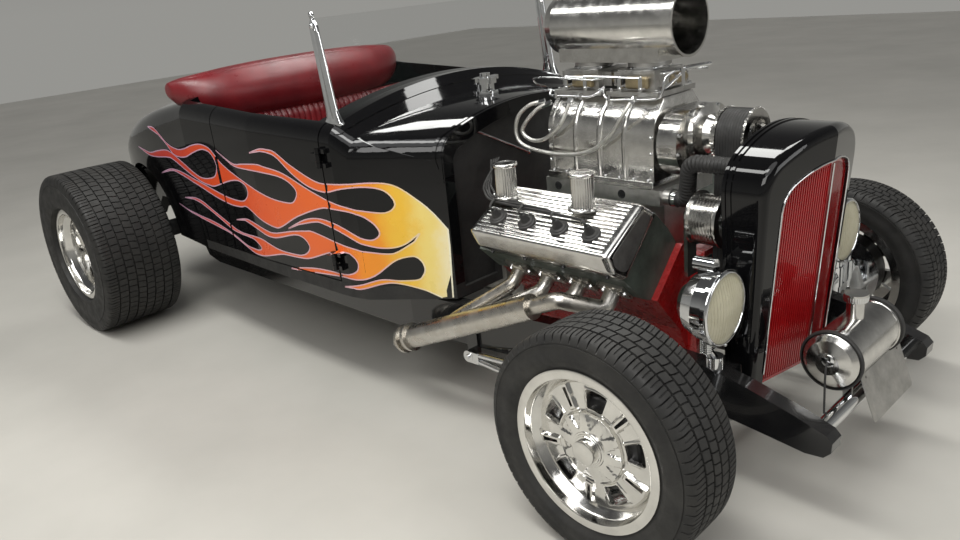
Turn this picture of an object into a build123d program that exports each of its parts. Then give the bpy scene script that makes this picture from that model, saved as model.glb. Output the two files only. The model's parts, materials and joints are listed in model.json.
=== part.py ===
"""A fenderless hot rod roadster with a supercharged V8, built as an assembly of separate pieces.

Frame: +X forward, +Y to the car's left, +Z up, millimetres. The origin is on the ground, under the
middle of the car's bounding box. Stations along the car are given as distances behind the front axle.
"""
from build123d import *
import math
import os

os.makedirs("parts", exist_ok=True)

# Driving dimensions, in millimetres and degrees.
wheelbase = 2720.0
horn_reach = 395.0      # frame horns ahead of the front axle
tail_back = 3180.0      # body tail behind it
front_axle_x = (tail_back - horn_reach) / 2
front_track = 1350.0
rear_track = 1548.0
front_tyre_r = 297.0
front_tyre_w = 190.0
rear_tyre_r = 359.0
rear_tyre_w = 340.0
rim_seat_r = 190.0
rim_lip_r = 208.0
rim_wall = 7.0
flange_top = 5.0        # thickness of a rim's flange at its lip and at its foot
flange_foot = 9.0
front_rim_w = 176.0
rear_rim_w = 300.0
tread_thick = 16.0
rear_axle_x = front_axle_x - wheelbase

seat_gap = 0.3          # between pieces that rest on one another across a curve
running_gap = 0.05      # shaft in a bearing
panel_gap = 5.0         # round doors and the boot lid

# Body shell.
body_wall = 40.0
floor_wall = 30.0
firewall_wall = 25.0
firewall_recess = 14.0  # behind the cowl's front edge
firewall_back = 800.0
screen_back = 1170.0
cockpit_front_back = 1215.0
seat_back_back = 2120.0
bulkhead_wall = 30.0
arch_r = 330.0
arch_wall = 15.0
tunnel_wall = 15.0
door_front_back = 1172.0
door_length = 690.0
door_bottom_z = 432.0
hinge_heights = (855.0, 508.0)
hinge_pin_r = 5.0
hinge_knuckle_r = 9.0
hinge_knuckle_h = 26.0
hinge_stand_off = 12.0
lid_axis_back = 2345.0
lid_reach = 600.0
lid_half_width = 380.0
lid_edge = 6.0
lid_hinge_y = 150.0
seat_roll_half = 575.0
bead_rise = 3.0         # raised beads and mouldings, above the skin
cowl_bead_backs = (802.0, 817.0)
cowl_bead_w = 9.0
ridge_bead_back = 1086.0
ridge_bead_w = 22.0

# Steering column and wheel.
wheel_back = 1480.0
wheel_y = 300.0
wheel_z = 850.0
column_deg = 32.0
wheel_shaft_r = 10.0

# Windscreen and fuel filler.
screen_top_z = 1298.0
screen_lean = 30.0
screen_post_y = 528.0
screen_post_back = 1148.0
filler_back = 984.0
filler_r = 30.0
filler_height = 66.0

# Engine.
oil_pan_z = 196.0
crank_z = 340.0
block_front_back = 130.0
block_length = 590.0
deck_height = 276.0
bell_length = 150.0
mount_member_back = 1110.0
mount_member_top = 262.0
bank_deg = 45.0
bore_pitch = 116.0
first_bore_back = 222.0
port_u = 352.0          # exhaust ports: along the bank from the crank, and out across it
port_v = 108.0
pipe_r = 22.0
collector_r = 38.0
cover_length = 500.0
cover_front_back = 140.0
cover_foot_u = 428.3    # a rocker cover's flange, along the bank from the crank
cover_fins = 12
cover_fin_pitch = 13.5
breather_backs = (302.0, 587.0)
breather_r = 24.0
breather_height = 74.0
manifold_front_back = 195.0
blower_front_back = 217.0
blower_length = 383.0
blower_base_z = 745.0
blower_top_z = 985.0
blower_half_width = 125.0
scoop_r = 92.0
scoop_wall = 3.0
scoop_z = 1187.0
scoop_mouth_back = 180.0
scoop_length = 420.0
pulley_plane_back = 65.0
belt_width = 76.0
belt_thick = 6.0
top_pulley_r = 68.0
top_pulley_z = 884.0
crank_pulley_r = 85.0
pulley_flange = 8.0     # how far a pulley's flange stands above its belt face
flange_w = 4.0
idler_r = 66.0
idler_z = 690.0
hose_r = 23.0
hose_y = 150.0
hose_low = (112.0, 722.0)   # y to the right and z of the thermostat's outlet
hose_top_z = 838.0

# Frame rails.
rail_width = 50.0
rail_top_z = 370.0
rail_bottom_z = 232.0
rail_front_y = 335.0    # outer face of a rail ahead of the cowl and behind it
rail_rear_y = 430.0
tail_member_back = 3050.0
tail_member_z = 408.0
horn_top = [(-170, 335), (-40, 362)]   # the rail's upper edge under the headlamps: back, height
hairpin_eye_back = 735.0
hairpin_eye_z = 208.0
hairpin_plate_y = 411.0
bar_eye_back = 1960.0
bar_eye_z = 292.0
bar_y = 330.0
bar_lug_w = 7.7         # each of the two lugs that hold a ladder bar's eye
bar_lug_reach = 26.0

# Nose: spreader bar and number plate, ahead of the axle.
bar_x = 333.0
bar_z = 232.0
plate_x = 368.0
plate_y = 68.0
plate_z = 236.0
plate_w = 260.0
plate_h = 130.0
plate_lean = 20.0
lamp_x = 120.0
lamp_y = 350.0
lamp_z = 540.0
lamp_foot_y = 310.0
lens_r = 87.7
tank_x = 300.0
tank_z = 360.0
tank_r = 75.0
tank_half = 140.0

# Steering and front suspension.
kingpin_offset = 90.0   # from the wheel's middle plane inward to the kingpin
kingpin_half = front_track / 2 - kingpin_offset
axle_r = 27.0
axle_z = 200.0
drop_inboard = 115.0    # the axle's drop ends this far inboard of the kingpin
drop_y = kingpin_half - drop_inboard
batwing_y = drop_y - 34
perch_y = 250.0
spring_x = 75.0         # centre of the spring ahead of the axle
spring_w = 44.0
kingpin_r = 14.0
arm_length = 130.0
spindle_r = 17.0
stud_r = 6.0
brake_plate_r = 128.0
axle_tube_r = 39.0
damper_top_z = 500.0
hub_bore_r = spindle_r + running_gap
tie_rod_z = 212.0


def at(back):
    """X of a station that lies this far behind the front axle."""
    return front_axle_x - back


def slab(x0, x1, y0, y1, z0, z1):
    """A box between two corners."""
    return Pos((x0 + x1) / 2, (y0 + y1) / 2, (z0 + z1) / 2) * Box(abs(x1 - x0), abs(y1 - y0), abs(z1 - z0))


def rod(start, end, radius):
    """A round bar from one point to another."""
    way = Vector(*end) - Vector(*start)
    foot = Plane(origin=Vector(*start), z_dir=way)
    return foot * Cylinder(radius, way.length, align=(Align.CENTER, Align.CENTER, Align.MIN))


def disc_x(back, y, z, radius, length):
    """A cylinder whose axis runs along X, its rear face at the station."""
    return rod((at(back), y, z), (at(back) + length, y, z), radius)


def bent_tube(points, bend, radius, wall=0.0):
    """A tube or bar swept along straight runs joined by arcs."""
    path = FilletPolyline(*[Vector(*p) for p in points], radius=bend)
    mouth = Plane(origin=path @ 0, z_dir=path % 0)
    solid = sweep(mouth * Circle(radius), path=path)
    if wall:
        solid -= sweep(mouth * Circle(radius - wall), path=path)
    return solid


def mirrored(shape):
    """The same piece on the other side of the car."""
    return mirror(shape, about=Plane.XZ)


def outline_yz(points):
    """A flat face across the car from (y, z) points."""
    return Plane.YZ * make_face(Polyline(*points, close=True))


def outline_xz(points):
    """A flat face along the car from (x, z) points."""
    return Plane.XZ * make_face(Polyline(*points, close=True))


def across(face, y0, y1):
    """Extrudes a face in the XZ plane from y0 to y1. The plane's own normal points to -Y."""
    return Pos(0, y1, 0) * extrude(face, amount=y1 - y0)


def revolved_about_y(profile, x, y, z):
    """Spins a list of (y, radius) points about an axle along Y."""
    ring = Plane.YZ * make_face(Polyline(*profile, close=True))
    return Pos(x, y, z) * revolve(ring, axis=Axis.Y)


def revolved_about_x(profile, x, y, z):
    """Spins a list of (x, radius) points about an axis along X."""
    ring = Plane.XZ * make_face(Polyline(*profile, close=True))
    return Pos(x, y, z) * revolve(ring, axis=Axis.X)


def ring_of(shape, count, axis, start_deg=0.0):
    """Copies of a shape turned about an axis."""
    return [shape.rotate(axis, start_deg + i * 360.0 / count) for i in range(count)]


def save(name, *shapes):
    """Writes one node."""
    found = []
    for shape in shapes:
        found += shape.solids()
    export_step(Compound(children=found) if len(found) > 1 else found[0], f"parts/{name}.step")


# Body stations: distance back, half width at the sill, half width at the belt, sill height,
# belt height, crown height, radius where side meets top.
BODY = {
    "firewall": (firewall_back, 395, 392, 380, 887, 965, 70),
    "cap": (1050, 560, 565, 380, 905, 974, 66),
    "ridge": (1120, 576, 581, 380, 940, 1041, 62),
    "screen": (screen_back, 580, 585, 380, 945, 1038, 60),
    "door": (1600, 592, 598, 385, 955, 1062, 60),
    "seat": (seat_back_back, 585, 592, 390, 985, 1072, 70),
    "deck": (2600, 560, 562, 410, 900, 985, 90),
    "rear": (2950, 500, 500, 450, 790, 865, 90),
    "tail": (tail_back, 400, 395, 520, 640, 700, 45),
}


# The belt moulding's outline on the cowl's side: distance back, height.
moulding = [
    (cowl_bead_backs[0], 764), (880, 779), (960, 801), (1053, 838),
    (1040, 914), (977, 887), (900, 861), (817, 832),
]


def body_section(back, sill, belt, z_sill, z_belt, z_crown, corner, inset=0.0, floor=0.0):
    """One cross-section of the shell: flat floor, straight side, rounded shoulder, arched top."""
    w0, w1 = sill - inset, belt - inset
    z0, z1, zc = z_sill + floor, z_belt - inset, z_crown - inset
    edges = [
        Line((-w0, z0), (w0, z0)),
        Line((w0, z0), (w1, z1)),
        ThreePointArc((w1, z1), (0, zc), (-w1, z1)),
        Line((-w1, z1), (-w0, z0)),
    ]
    face = make_face(edges)
    top = [v for v in face.vertices() if v.Y > (z0 + z1) / 2]
    face = fillet(top, radius=max(corner - inset / 2, 12))
    return Pos(at(back), 0, 0) * (Plane.YZ * face)


def body_form(inset=0.0, floor=0.0):
    """The shell's outer form, or its inner one when inset."""
    def cut(name):
        return body_section(*BODY[name], inset=inset, floor=floor)
    cowl = loft([cut("firewall"), cut("cap"), cut("ridge"), cut("screen")], ruled=True)
    cabin = loft([cut("screen"), cut("door"), cut("seat")], ruled=True)
    back = loft([cut("seat"), cut("deck"), cut("rear"), cut("tail")])
    return cowl + cabin + back


def cockpit_prism(gap=0.0):
    """The cockpit's mouth in plan, as a tall prism that starts well below the belt."""
    rim = [(at(cockpit_front_back) - gap, BODY["screen"][2] - body_wall - 7 - gap)]
    rim += [(at(BODY["door"][0]), BODY["door"][2] - body_wall - 5 - gap)]
    rim += [(at(seat_back_back - bulkhead_wall) + gap, BODY["seat"][2] - body_wall - 5 - gap)]
    plan = make_face(Polyline(*rim, *[(x, -y) for x, y in reversed(rim)], close=True))
    return extrude(Plane.XY.offset(700) * plan, 500)


def top_surface_z(name, y):
    """Height of the shell's arched top at a station, this far from the middle."""
    _, _, belt, _, z_belt, z_crown, _ = BODY[name]
    rise = z_crown - z_belt
    arch = (belt ** 2 + rise ** 2) / (2 * rise)
    return z_crown - arch + math.sqrt(arch ** 2 - y ** 2)


def make_body():
    """The body's panels, its two doors and the boot lid, all cut from one shell."""
    outer = body_form()
    inner = body_form(inset=body_wall, floor=floor_wall)
    cabin_space = inner & slab(at(firewall_back), at(seat_back_back - bulkhead_wall), -900, 900, 0, 1500)
    boot_space = inner & slab(at(seat_back_back), at(tail_back - body_wall), -900, 900, 0, 1500)
    shell = outer + body_trim() - cabin_space - boot_space - cockpit_prism() + (tunnel(tunnel_wall) & outer)
    shell = shell - arch_bar(arch_r + arch_wall) - tunnel()
    wheel_tubs = (arch_bar(arch_r + arch_wall - seat_gap) & outer) - arch_bar(arch_r)

    door_x0, door_x1 = at(door_front_back), at(door_front_back + door_length)
    inner_y = BODY["screen"][2] - body_wall - 12
    opening = slab(door_x1 - panel_gap, door_x0 + panel_gap, -800, -inner_y, door_bottom_z - panel_gap, 1200)
    leaf = slab(door_x1, door_x0, -800, -inner_y, door_bottom_z, 1200)
    door_right = shell & leaf
    tub = shell - opening - mirrored(opening)

    lid_x, lid_z = at(lid_axis_back), lid_axis_z()
    wide = lid_half_width + panel_gap
    sweep_out = rod((lid_x, -wide, lid_z), (lid_x, wide, lid_z), lid_reach + panel_gap)
    sweep_lid = rod((lid_x, -lid_half_width, lid_z), (lid_x, lid_half_width, lid_z), lid_reach)
    behind = slab(at(tail_back), lid_x - lid_edge, -900, 900, 720, 1300)
    behind_lid = slab(at(tail_back), lid_x - lid_edge - panel_gap, -900, 900, 720, 1300)
    lid = shell & sweep_lid & behind_lid
    tub = tub - (sweep_out & behind)
    for y in (-lid_hinge_y, lid_hinge_y):
        pin = rod((lid_x, y - 38, lid_z), (lid_x, y + 38, lid_z), hinge_pin_r)
        for y0, y1 in ((y - 38, y - 14), (y + 14, y + 38)):
            tub += rod((lid_x, y0, lid_z), (lid_x, y1, lid_z), hinge_knuckle_r)
            tub += slab(lid_x - 4, lid_x + 30, y0, y1, lid_z - 44, lid_z - 3)
        tub += pin
        lid += rod((lid_x, y - 13, lid_z), (lid_x, y + 13, lid_z), hinge_knuckle_r)
        lid += slab(lid_x - 50, lid_x, y - 13, y + 13, lid_z - 9, lid_z - 3)
        lid += slab(lid_x - 50, lid_x - 13, y - 13, y + 13, lid_z - 44, lid_z - 5)
        lid -= rod((lid_x, y - 40, lid_z), (lid_x, y + 40, lid_z), hinge_pin_r + 0.25)

    under = slab(at(seat_back_back), at(firewall_back), -900, 900, 0, door_bottom_z - panel_gap)
    under += tunnel(tunnel_wall + 1)
    split_x = at(cockpit_front_back) - 1
    floor_pan = tub & under
    cowl = (tub - under) & slab(split_x, at(firewall_back), -900, 900, 0, 1500)
    rear_body = (tub - under) & slab(at(tail_back), split_x, -900, 900, 0, 1500)
    return cowl, floor_pan, rear_body, wheel_tubs, door_right, lid


def body_trim():
    """Raised forms on the cowl: beads at its front edge and its rear ridge, and the belt moulding."""
    raised = body_form(inset=-bead_rise)
    low = moulding[0][1]
    trim = [slab(at(back + cowl_bead_w), at(back), -900, 900, low, 1500) for back in cowl_bead_backs]
    trim.append(slab(at(ridge_bead_back + ridge_bead_w), at(ridge_bead_back), -900, 900, 930, 1500))
    band = outline_xz([(at(back), z) for back, z in moulding])
    trim += [across(band, -900, -300), across(band, 300, 900)]
    made = raised & trim[0]
    for piece in trim[1:]:
        made += raised & piece
    return made


def arch_bar(radius):
    """A bar across the whole car round the rear axle, for cutting the wheel arches."""
    return rod((rear_axle_x, -900, rear_tyre_r), (rear_axle_x, 900, rear_tyre_r), radius)


def make_firewall():
    """The flat wall behind the engine, set back inside the cowl's front edge."""
    front = firewall_back + firewall_recess
    plate = body_form(inset=body_wall + seat_gap, floor=floor_wall + seat_gap)
    plate = plate & slab(at(front + firewall_wall), at(front), -900, 900, 0, 1500)
    return plate - tunnel(tunnel_wall + seat_gap)


def lid_axis_z():
    """Height of the boot lid's hinge line, just above the deck."""
    share = (lid_axis_back - seat_back_back) / (BODY["deck"][0] - seat_back_back)
    return BODY["seat"][5] + share * (BODY["deck"][5] - BODY["seat"][5]) + 16


def door_axis():
    """X and Y of the right door's hinge line, outside the skin."""
    return at(door_front_back) + 6, -(BODY["screen"][2] + hinge_stand_off)


def make_door_hinges():
    """The body halves of the door hinges: pin, two outer knuckles and a leaf; and the door halves."""
    x, y = door_axis()
    fixed, moving = [], []
    for z in hinge_heights:
        half = hinge_knuckle_h / 2
        pin = rod((x, y, z - 2 * half - 6), (x, y, z + 2 * half + 6), hinge_pin_r)
        low = rod((x, y, z - 2 * half - 6), (x, y, z - half - 1), hinge_knuckle_r)
        high = rod((x, y, z + half + 1), (x, y, z + 2 * half + 6), hinge_knuckle_r)
        leaf = slab(x, x + 34, y + 2, y + hinge_stand_off + 14, z - 2 * half - 4, z - half - 3)
        leaf_high = slab(x, x + 34, y + 2, y + hinge_stand_off + 14, z + half + 3, z + 2 * half + 4)
        fixed.append(pin + low + high + leaf + leaf_high)
        knuckle = rod((x, y, z - half), (x, y, z + half), hinge_knuckle_r)
        strap = slab(x - 46, x, y + 1, y + hinge_stand_off - 2, z - half, z + half)
        strap += slab(x - 46, x - 9, y + hinge_stand_off - 3, y + hinge_stand_off + 12, z - half, z + half)
        moving.append((knuckle + strap) - rod((x, y, z - 40), (x, y, z + 40), hinge_pin_r + 0.25))
    return fixed, moving


def make_frame():
    """Two rails with front horns and a kick-up over the rear axle, joined by crossmembers."""
    top, low, tail = rail_top_z, rail_bottom_z, tail_member_z
    horn = -horn_reach
    side = [
        (horn, 252), (horn + 15, 268), (-300, 296), *horn_top, (100, top),
        (2412, top), (2560, 560), (2880, 560), (2990, tail + 28), (3085, tail + 28),
        (3085, tail - 28), (2960, tail - 28), (2850, 490), (2600, 490), (2470, low + 20), (2380, low),
        (200, low), (-60, 240), (-200, 222), (-330, 204), (horn + 20, 208), (horn + 2, 226),
    ]
    profile = across(outline_xz([(at(back), z) for back, z in side]), -900, 900)
    edge = [(at(horn), rail_front_y), (at(100), rail_front_y)]
    edge += [(at(1000), rail_rear_y), (at(3085), rail_rear_y)]
    strip = edge + [(x, y - rail_width) for x, y in reversed(edge)]
    plan = extrude(Plane.XY * make_face(Polyline(*strip, close=True)), 700)
    rail = profile & plan
    damper_x = rear_axle_x - 84
    members = [
        slab(at(-105), at(-45), -300, 300, 300, 336),
        slab(at(mount_member_back + 35), at(mount_member_back - 35), -400, 400, low, mount_member_top),
        slab(at(bar_eye_back - 20), at(bar_eye_back - 80), -400, 400, low + 10, 306),
        rod((at(tail_member_back), -400, tail), (at(tail_member_back), 400, tail), 22),
        slab(damper_x - 20, damper_x + 20, -400, 400, damper_top_z + seat_gap, damper_top_z + 40),
    ]
    frame = rail + mirrored(rail)
    for member in members:
        frame += member
    eye_x, eye_z = at(hairpin_eye_back), hairpin_eye_z
    for s in (-1, 1):
        ear = slab(eye_x - 24, eye_x + 24, s * 396, s * hairpin_plate_y, eye_z - 22, 300)
        frame += ear - rod((eye_x, s * 300, eye_z), (eye_x, s * 500, eye_z), 8 + running_gap)
        for y in (bar_y - bar_lug_reach, bar_y + bar_lug_reach - bar_lug_w):
            x = at(bar_eye_back)
            frame += slab(x - 16, x + 22, s * y, s * (y + bar_lug_w), bar_eye_z - 30, bar_eye_z + 14)
    return frame


def make_spreader_bar():
    """The chrome tube between the horns, with the cradle that carries the fuel tank."""
    reach = rail_front_y - rail_width - seat_gap
    bar = rod((at(-bar_x), -reach, bar_z), (at(-bar_x), reach, bar_z), 22)
    x, z, r = at(-tank_x), tank_z, tank_r - 2 + seat_gap
    for y in (-95, 95):
        bar += slab(at(-bar_x - 8), at(-bar_x + 14), y - 4, y + 4, bar_z, 284)
        saddle = rod((x, y - 14, z), (x, y + 14, z), r + 9) - rod((x, y - 20, z), (x, y + 20, z), r)
        bar += saddle & slab(x - 60, x + 42, -200, 200, z - 100, z - 30)
    tab_x, reach = at(-plate_x), 400
    back_face = Rot(0, -plate_lean, 0) * Pos(reach / 2 - 2, 0, 0) * Box(reach, 600, 600)
    for y in (plate_y - 60, plate_y + 60):
        tab = slab(at(-bar_x), tab_x + 40, y - 9, y + 9, plate_z - 8, plate_z + 8)
        bar += tab - Pos(tab_x, plate_y, plate_z) * back_face
    return bar


def make_tank():
    """A spun tank across the car with domed ends, rolled bands and a filler neck."""
    r, half = tank_r, tank_half
    end = [(-half - 22, 0), (-half - 20, 30), (-half - 10, 58), (-half, r - 4)]
    band = [(-half + 4, r), (-half + 24, r), (-half + 26, r - 2)]
    profile = end + band
    mirror_side = [(-y, q) for y, q in reversed(profile)]
    body = revolved_about_y(profile + mirror_side, at(-tank_x), 0, tank_z)
    neck = rod((at(-tank_x), 0, tank_z), (at(-tank_x), 0, tank_z + 118), 22)
    cap = rod((at(-tank_x), 0, tank_z + 118), (at(-tank_x), 0, tank_z + 138), 30)
    return body + neck + cap


def front_outline(half_low, half_high, z_low, z_shoulder, z_crown, corner):
    """The grille shell's front view: straight sides under an arched top."""
    edges = [
        Line((-half_low, z_low), (half_low, z_low)),
        Line((half_low, z_low), (half_high, z_shoulder)),
        ThreePointArc((half_high, z_shoulder), (0, z_crown), (-half_high, z_shoulder)),
        Line((-half_high, z_shoulder), (-half_low, z_low)),
    ]
    face = make_face(edges)
    top = [v for v in face.vertices() if v.Y > (z_low + z_shoulder) / 2]
    return Plane.YZ * fillet(top, radius=corner)


grille_nose_x = 222.0
grille_edge_x = 170.0
grille_lean = 5.0       # degrees, the foot further back than the crown
shell_rear_x = 62.0
shell_half = 262.0
shell_wall = 14.0
shell_low_z = 262.0
shell_shoulder_z = 852.0
shell_crown_z = 926.0
shell_bead_w = 7.0
shell_bead_pitch = 15.0
insert_half = 186.0
insert_low_half = 186.0
insert_shoulder_z = 786.0
insert_crown_z = 836.0
grille_pitch = 9.0
grille_bar_half = 1.8


def prow(set_back=0.0, rear=-200.0):
    """The plan of the grille: a shallow V with its point forward, as a tall prism leaning at the foot."""
    nose, edge, wide = grille_nose_x - set_back, grille_edge_x - set_back, shell_half + 20
    plan = [(at(-rear), -wide), (at(-edge), -wide), (at(-nose), 0), (at(-edge), wide), (at(-rear), wide)]
    prism = extrude(Plane.XY * make_face(Polyline(*plan, close=True)), 1200)
    pivot = Pos(at(-grille_edge_x), 0, insert_shoulder_z)
    return pivot * Rot(0, grille_lean, 0) * pivot.inverse() * prism


def shell_outline(grow=0.0, low=shell_low_z):
    """The shell's front view, grown or shrunk all round."""
    half, shoulder, crown = shell_half + grow, shell_shoulder_z + grow, shell_crown_z + grow
    return front_outline(half - 30, half, low, shoulder, crown, 95 + grow)


def insert_outline(shrink=0.0, low=shell_low_z + 4):
    """The front view of the grille's opening, or of what stands in it when shrunk."""
    half, shoulder, crown = insert_half - shrink, insert_shoulder_z - shrink, insert_crown_z - shrink
    return front_outline(insert_low_half - shrink, half, low, shoulder, crown, 70 - shrink)


def make_grille_shell():
    """The painted surround of the radiator with two raised beads, hollow behind, open for the bars."""
    rear = at(-shell_rear_x)
    form = extrude(Pos(rear, 0, 0) * shell_outline(), 220) & prow()
    rise = math.tan(math.radians(grille_lean))
    front = []
    for edge in form.edges():
        mid = edge.center()
        face_x = at(-grille_edge_x) + (mid.Z - insert_shoulder_z) * rise
        if mid.X > face_x - 12 and mid.Z > shell_low_z + 5 and abs(mid.Y) > 2:
            front.append(edge)
    form = fillet(front, radius=24)
    for i in range(2):
        form += extrude(Pos(rear + 4 + i * shell_bead_pitch, 0, 0) * shell_outline(bead_rise), shell_bead_w)
    hollow = extrude(Pos(rear - 5, 0, 0) * shell_outline(-shell_wall, 200), 200) & prow(shell_wall + 2)
    opening = extrude(Pos(rear - 5, 0, 0) * insert_outline(0, 200), 260)
    clear = slab(at(-20), at(-110), -400, 400, 0, 336 + seat_gap)
    return form - hollow - opening - clear


def make_grille_bars():
    """Upright bars in a rim, following the V."""
    foot = at(-70)
    area = extrude(Pos(foot, 0, 0) * insert_outline(seat_gap), 190)
    core = extrude(Pos(foot, 0, 0) * insert_outline(8 + seat_gap, shell_low_z + 12), 190)
    teeth = area & (prow(6) - prow(16))
    made = (area - core) & (prow(6) - prow(16))
    count = int((insert_half - 8) / grille_pitch)
    for i in range(-count, count + 1):
        y = i * grille_pitch
        made += teeth & slab(foot, at(-260), y - grille_bar_half, y + grille_bar_half, shell_low_z - 2, 840)
    stays = area & (prow(14) - prow(20))
    for z in (400, 540, 680):
        made += stays & slab(foot, at(-260), -insert_half, insert_half, z - 4, z + 4)
    return made


def make_radiator():
    """The core with its top and bottom tanks, behind the grille."""
    core = slab(at(-72), at(-108), -200, 200, 336 + seat_gap, 800)
    tank = slab(at(-67.5), at(-128), -170, 170, 800, 868)
    return core + tank


def bank(u, v, side=-1):
    """(y, z) of a point on a cylinder bank: u along the bank from the crank, v outboard across it."""
    s, c = math.sin(math.radians(bank_deg)), math.cos(math.radians(bank_deg))
    return side * (u * s + v * c), crank_z + u * c - v * s


def make_block():
    """The iron block with its front cover: the V profile extruded along the crank."""
    half = [(110, 250), (150, 345), (259, 471), (131, 599), (70, 545)]
    points = [(-y, z) for y, z in half] + [(y, z) for y, z in reversed(half)]
    body = extrude(Pos(at(block_front_back + block_length), 0, 0) * outline_yz(points), block_length)
    front = [(-105, 255), (-120, 420), (-60, crank_z + 220), (60, crank_z + 220), (120, 420), (105, 255)]
    cover = extrude(Pos(at(block_front_back), 0, 0) * outline_yz(front), 28)
    sump = slab(at(350), at(block_front_back + block_length - 10), -100, 100, oil_pan_z, 250)
    return body + cover + sump


def along_bank(points, front_back, length, side=-1):
    """A bank profile of (u, v) points extruded along the car."""
    face = outline_yz([bank(u, v, side) for u, v in points])
    return extrude(Pos(at(front_back + length), 0, 0) * face, length)


def make_heads():
    """Both cylinder heads, on the block's decks."""
    deck, top = deck_height + 0.2, cover_foot_u - seat_gap
    profile = [(deck, -92), (deck, 92), (318, port_v), (top, port_v), (top, -100), (340, -100)]
    return [along_bank(profile, 150, 540, side) for side in (-1, 1)]


def make_covers():
    """Wide ribbed rocker covers, each with two breather chimneys."""
    made = []
    low, rear = cover_foot_u, cover_front_back + cover_length
    shoulder = low + 76.7
    profile = [(low, -100), (shoulder, -86), (low + 126.7, 104), (low + 67.7, 125), (low, port_v)]
    for side in (-1, 1):
        cover = along_bank(profile, cover_front_back, cover_length, side)
        faces = at(cover_front_back), at(rear)
        ends = [e for e in cover.edges() if min(abs(e.center().X - x) for x in faces) < 1]
        cover = chamfer([e for e in ends if e.center().Z > crank_z + 290 or abs(e.center().Y) > 430], 12)
        for i in range(cover_fins):
            v = -70 + i * cover_fin_pitch
            u = shoulder + (v + 86) * 50 / 190
            fin = [(u - 2, v - 2), (u + 3, v - 2), (u + 3, v + 2), (u - 2, v + 2)]
            cover += along_bank(fin, cover_front_back + 22, cover_length - 44, side)
        for back in breather_backs:
            y, z = bank(low + 93.7, -36, side)
            lip = z + breather_height
            cover += rod((at(back), y, z - 12), (at(back), y, z + 5), breather_r + 12)
            cover += rod((at(back), y, z), (at(back), y, lip), breather_r)
            cover += rod((at(back), y, lip - 4), (at(back), y, lip + 10), breather_r + 6)
        made.append(cover)
    return made


def make_manifold():
    """The cast box that carries the blower between the banks."""
    box = slab(at(manifold_front_back), at(610), -140, 140, 700, blower_base_z)
    box += rod((at(manifold_front_back + 10), -112, 722), (at(manifold_front_back - 24), -112, 722), 22)
    throat = slab(at(230), at(600), -66, 66, 545.5, 700)
    return box + throat


def blower_profile(grow=0.0):
    """The two-lobe rotor case in front view."""
    w, top = blower_half_width + grow, blower_top_z + grow
    edges = [
        Line((-w, blower_base_z + 20), (w, blower_base_z + 20)),
        Line((w, blower_base_z + 20), (w, 880)),
        ThreePointArc((w, 880), (w - 22, top - 40), (70, top)),
        Line((70, top), (-70, top)),
        ThreePointArc((-70, top), (-w + 22, top - 40), (-w, 880)),
        Line((-w, 880), (-w, blower_base_z + 20)),
    ]
    return Plane.YZ * make_face(edges)


def make_blower():
    """The supercharger case: base flange, rotor case with hoops, end plates."""
    rear = blower_front_back + blower_length
    case = extrude(Pos(at(rear), 0, 0) * blower_profile(), blower_length)
    case += slab(at(blower_front_back), at(rear), -140, 140, blower_base_z + seat_gap, blower_base_z + 22)
    for i in range(6):
        x = at(rear) + 10 + i * (blower_length - 30) / 5
        case += extrude(Pos(x, 0, 0) * blower_profile(7), 10)
    case += extrude(Pos(at(rear) - 18, 0, 0) * blower_profile(4), 18)
    case += extrude(Pos(at(blower_front_back), 0, 0) * blower_profile(6), 16)
    return case


def pulley(y, z, r, dish, lip=pulley_flange):
    """A flanged belt pulley in the belt's plane, hollowed out at its front."""
    x, w = at(pulley_plane_back), belt_width + flange_w
    wheel = rod((x, y, z), (x + w, y, z), r)
    for low in (x - flange_w, x + w):
        wheel += rod((low, y, z), (low + flange_w, y, z), r + lip)
    return wheel - rod((x + w - dish, y, z), (x + w + 20, y, z), r - 16)


def make_blower_drive():
    """Gear cover, snout and the blower's and crank's belt pulleys."""
    case_face = blower_front_back - 16.3
    x0 = at(case_face)
    lobe_y, lobe_z, lobe_r, depth = 52, 868, 92, 62
    cover = slab(x0, x0 + depth, -lobe_y, lobe_y, lobe_z - lobe_r, lobe_z + lobe_r)
    for y in (-lobe_y, lobe_y):
        cover += disc_x(case_face, y, lobe_z, lobe_r, depth)
    nose = [(0, 0), (0, 86), (14, 84), (26, 56), (60, 44), (60, 0)]
    snout = revolved_about_x(nose, x0 + depth, 0, top_pulley_z)
    face = at(pulley_plane_back)
    shaft = rod((x0 + 100, 0, top_pulley_z), (face, 0, top_pulley_z), 30)
    top = cover + snout + shaft + pulley(0, top_pulley_z, top_pulley_r - seat_gap, 34)
    crank_nose = rod((at(block_front_back) + 28.3, 0, crank_z), (face + 10, 0, crank_z), 24)
    return top, crank_nose + pulley(0, crank_z, crank_pulley_r - seat_gap, 34)


def belt_half_width(z):
    """Half the width over the belt's two runs at a height between the pulleys."""
    share = (top_pulley_z - z) / (top_pulley_z - crank_z)
    lean = math.asin((crank_pulley_r - top_pulley_r) / (top_pulley_z - crank_z))
    return (top_pulley_r + share * (crank_pulley_r - top_pulley_r) + belt_thick) / math.cos(lean)


def make_idler():
    """The flanged belt tensioner and its arm, bolted to the block's front."""
    y = -(belt_half_width(idler_z) + idler_r + seat_gap)
    x0, x1 = at(block_front_back) + 28.3, at(block_front_back) + 40
    arm = rod((x1 - 10, y, idler_z), (at(pulley_plane_back) + flange_w, y, idler_z), 14)
    foot_z = idler_z - 170
    plate = slab(x0, x1, y - 22, -40, foot_z, foot_z + 30)
    plate += slab(x0, x1, y - 22, y + 22, foot_z, idler_z + 16)
    return pulley(y, idler_z, idler_r, 24) + arm + plate


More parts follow.
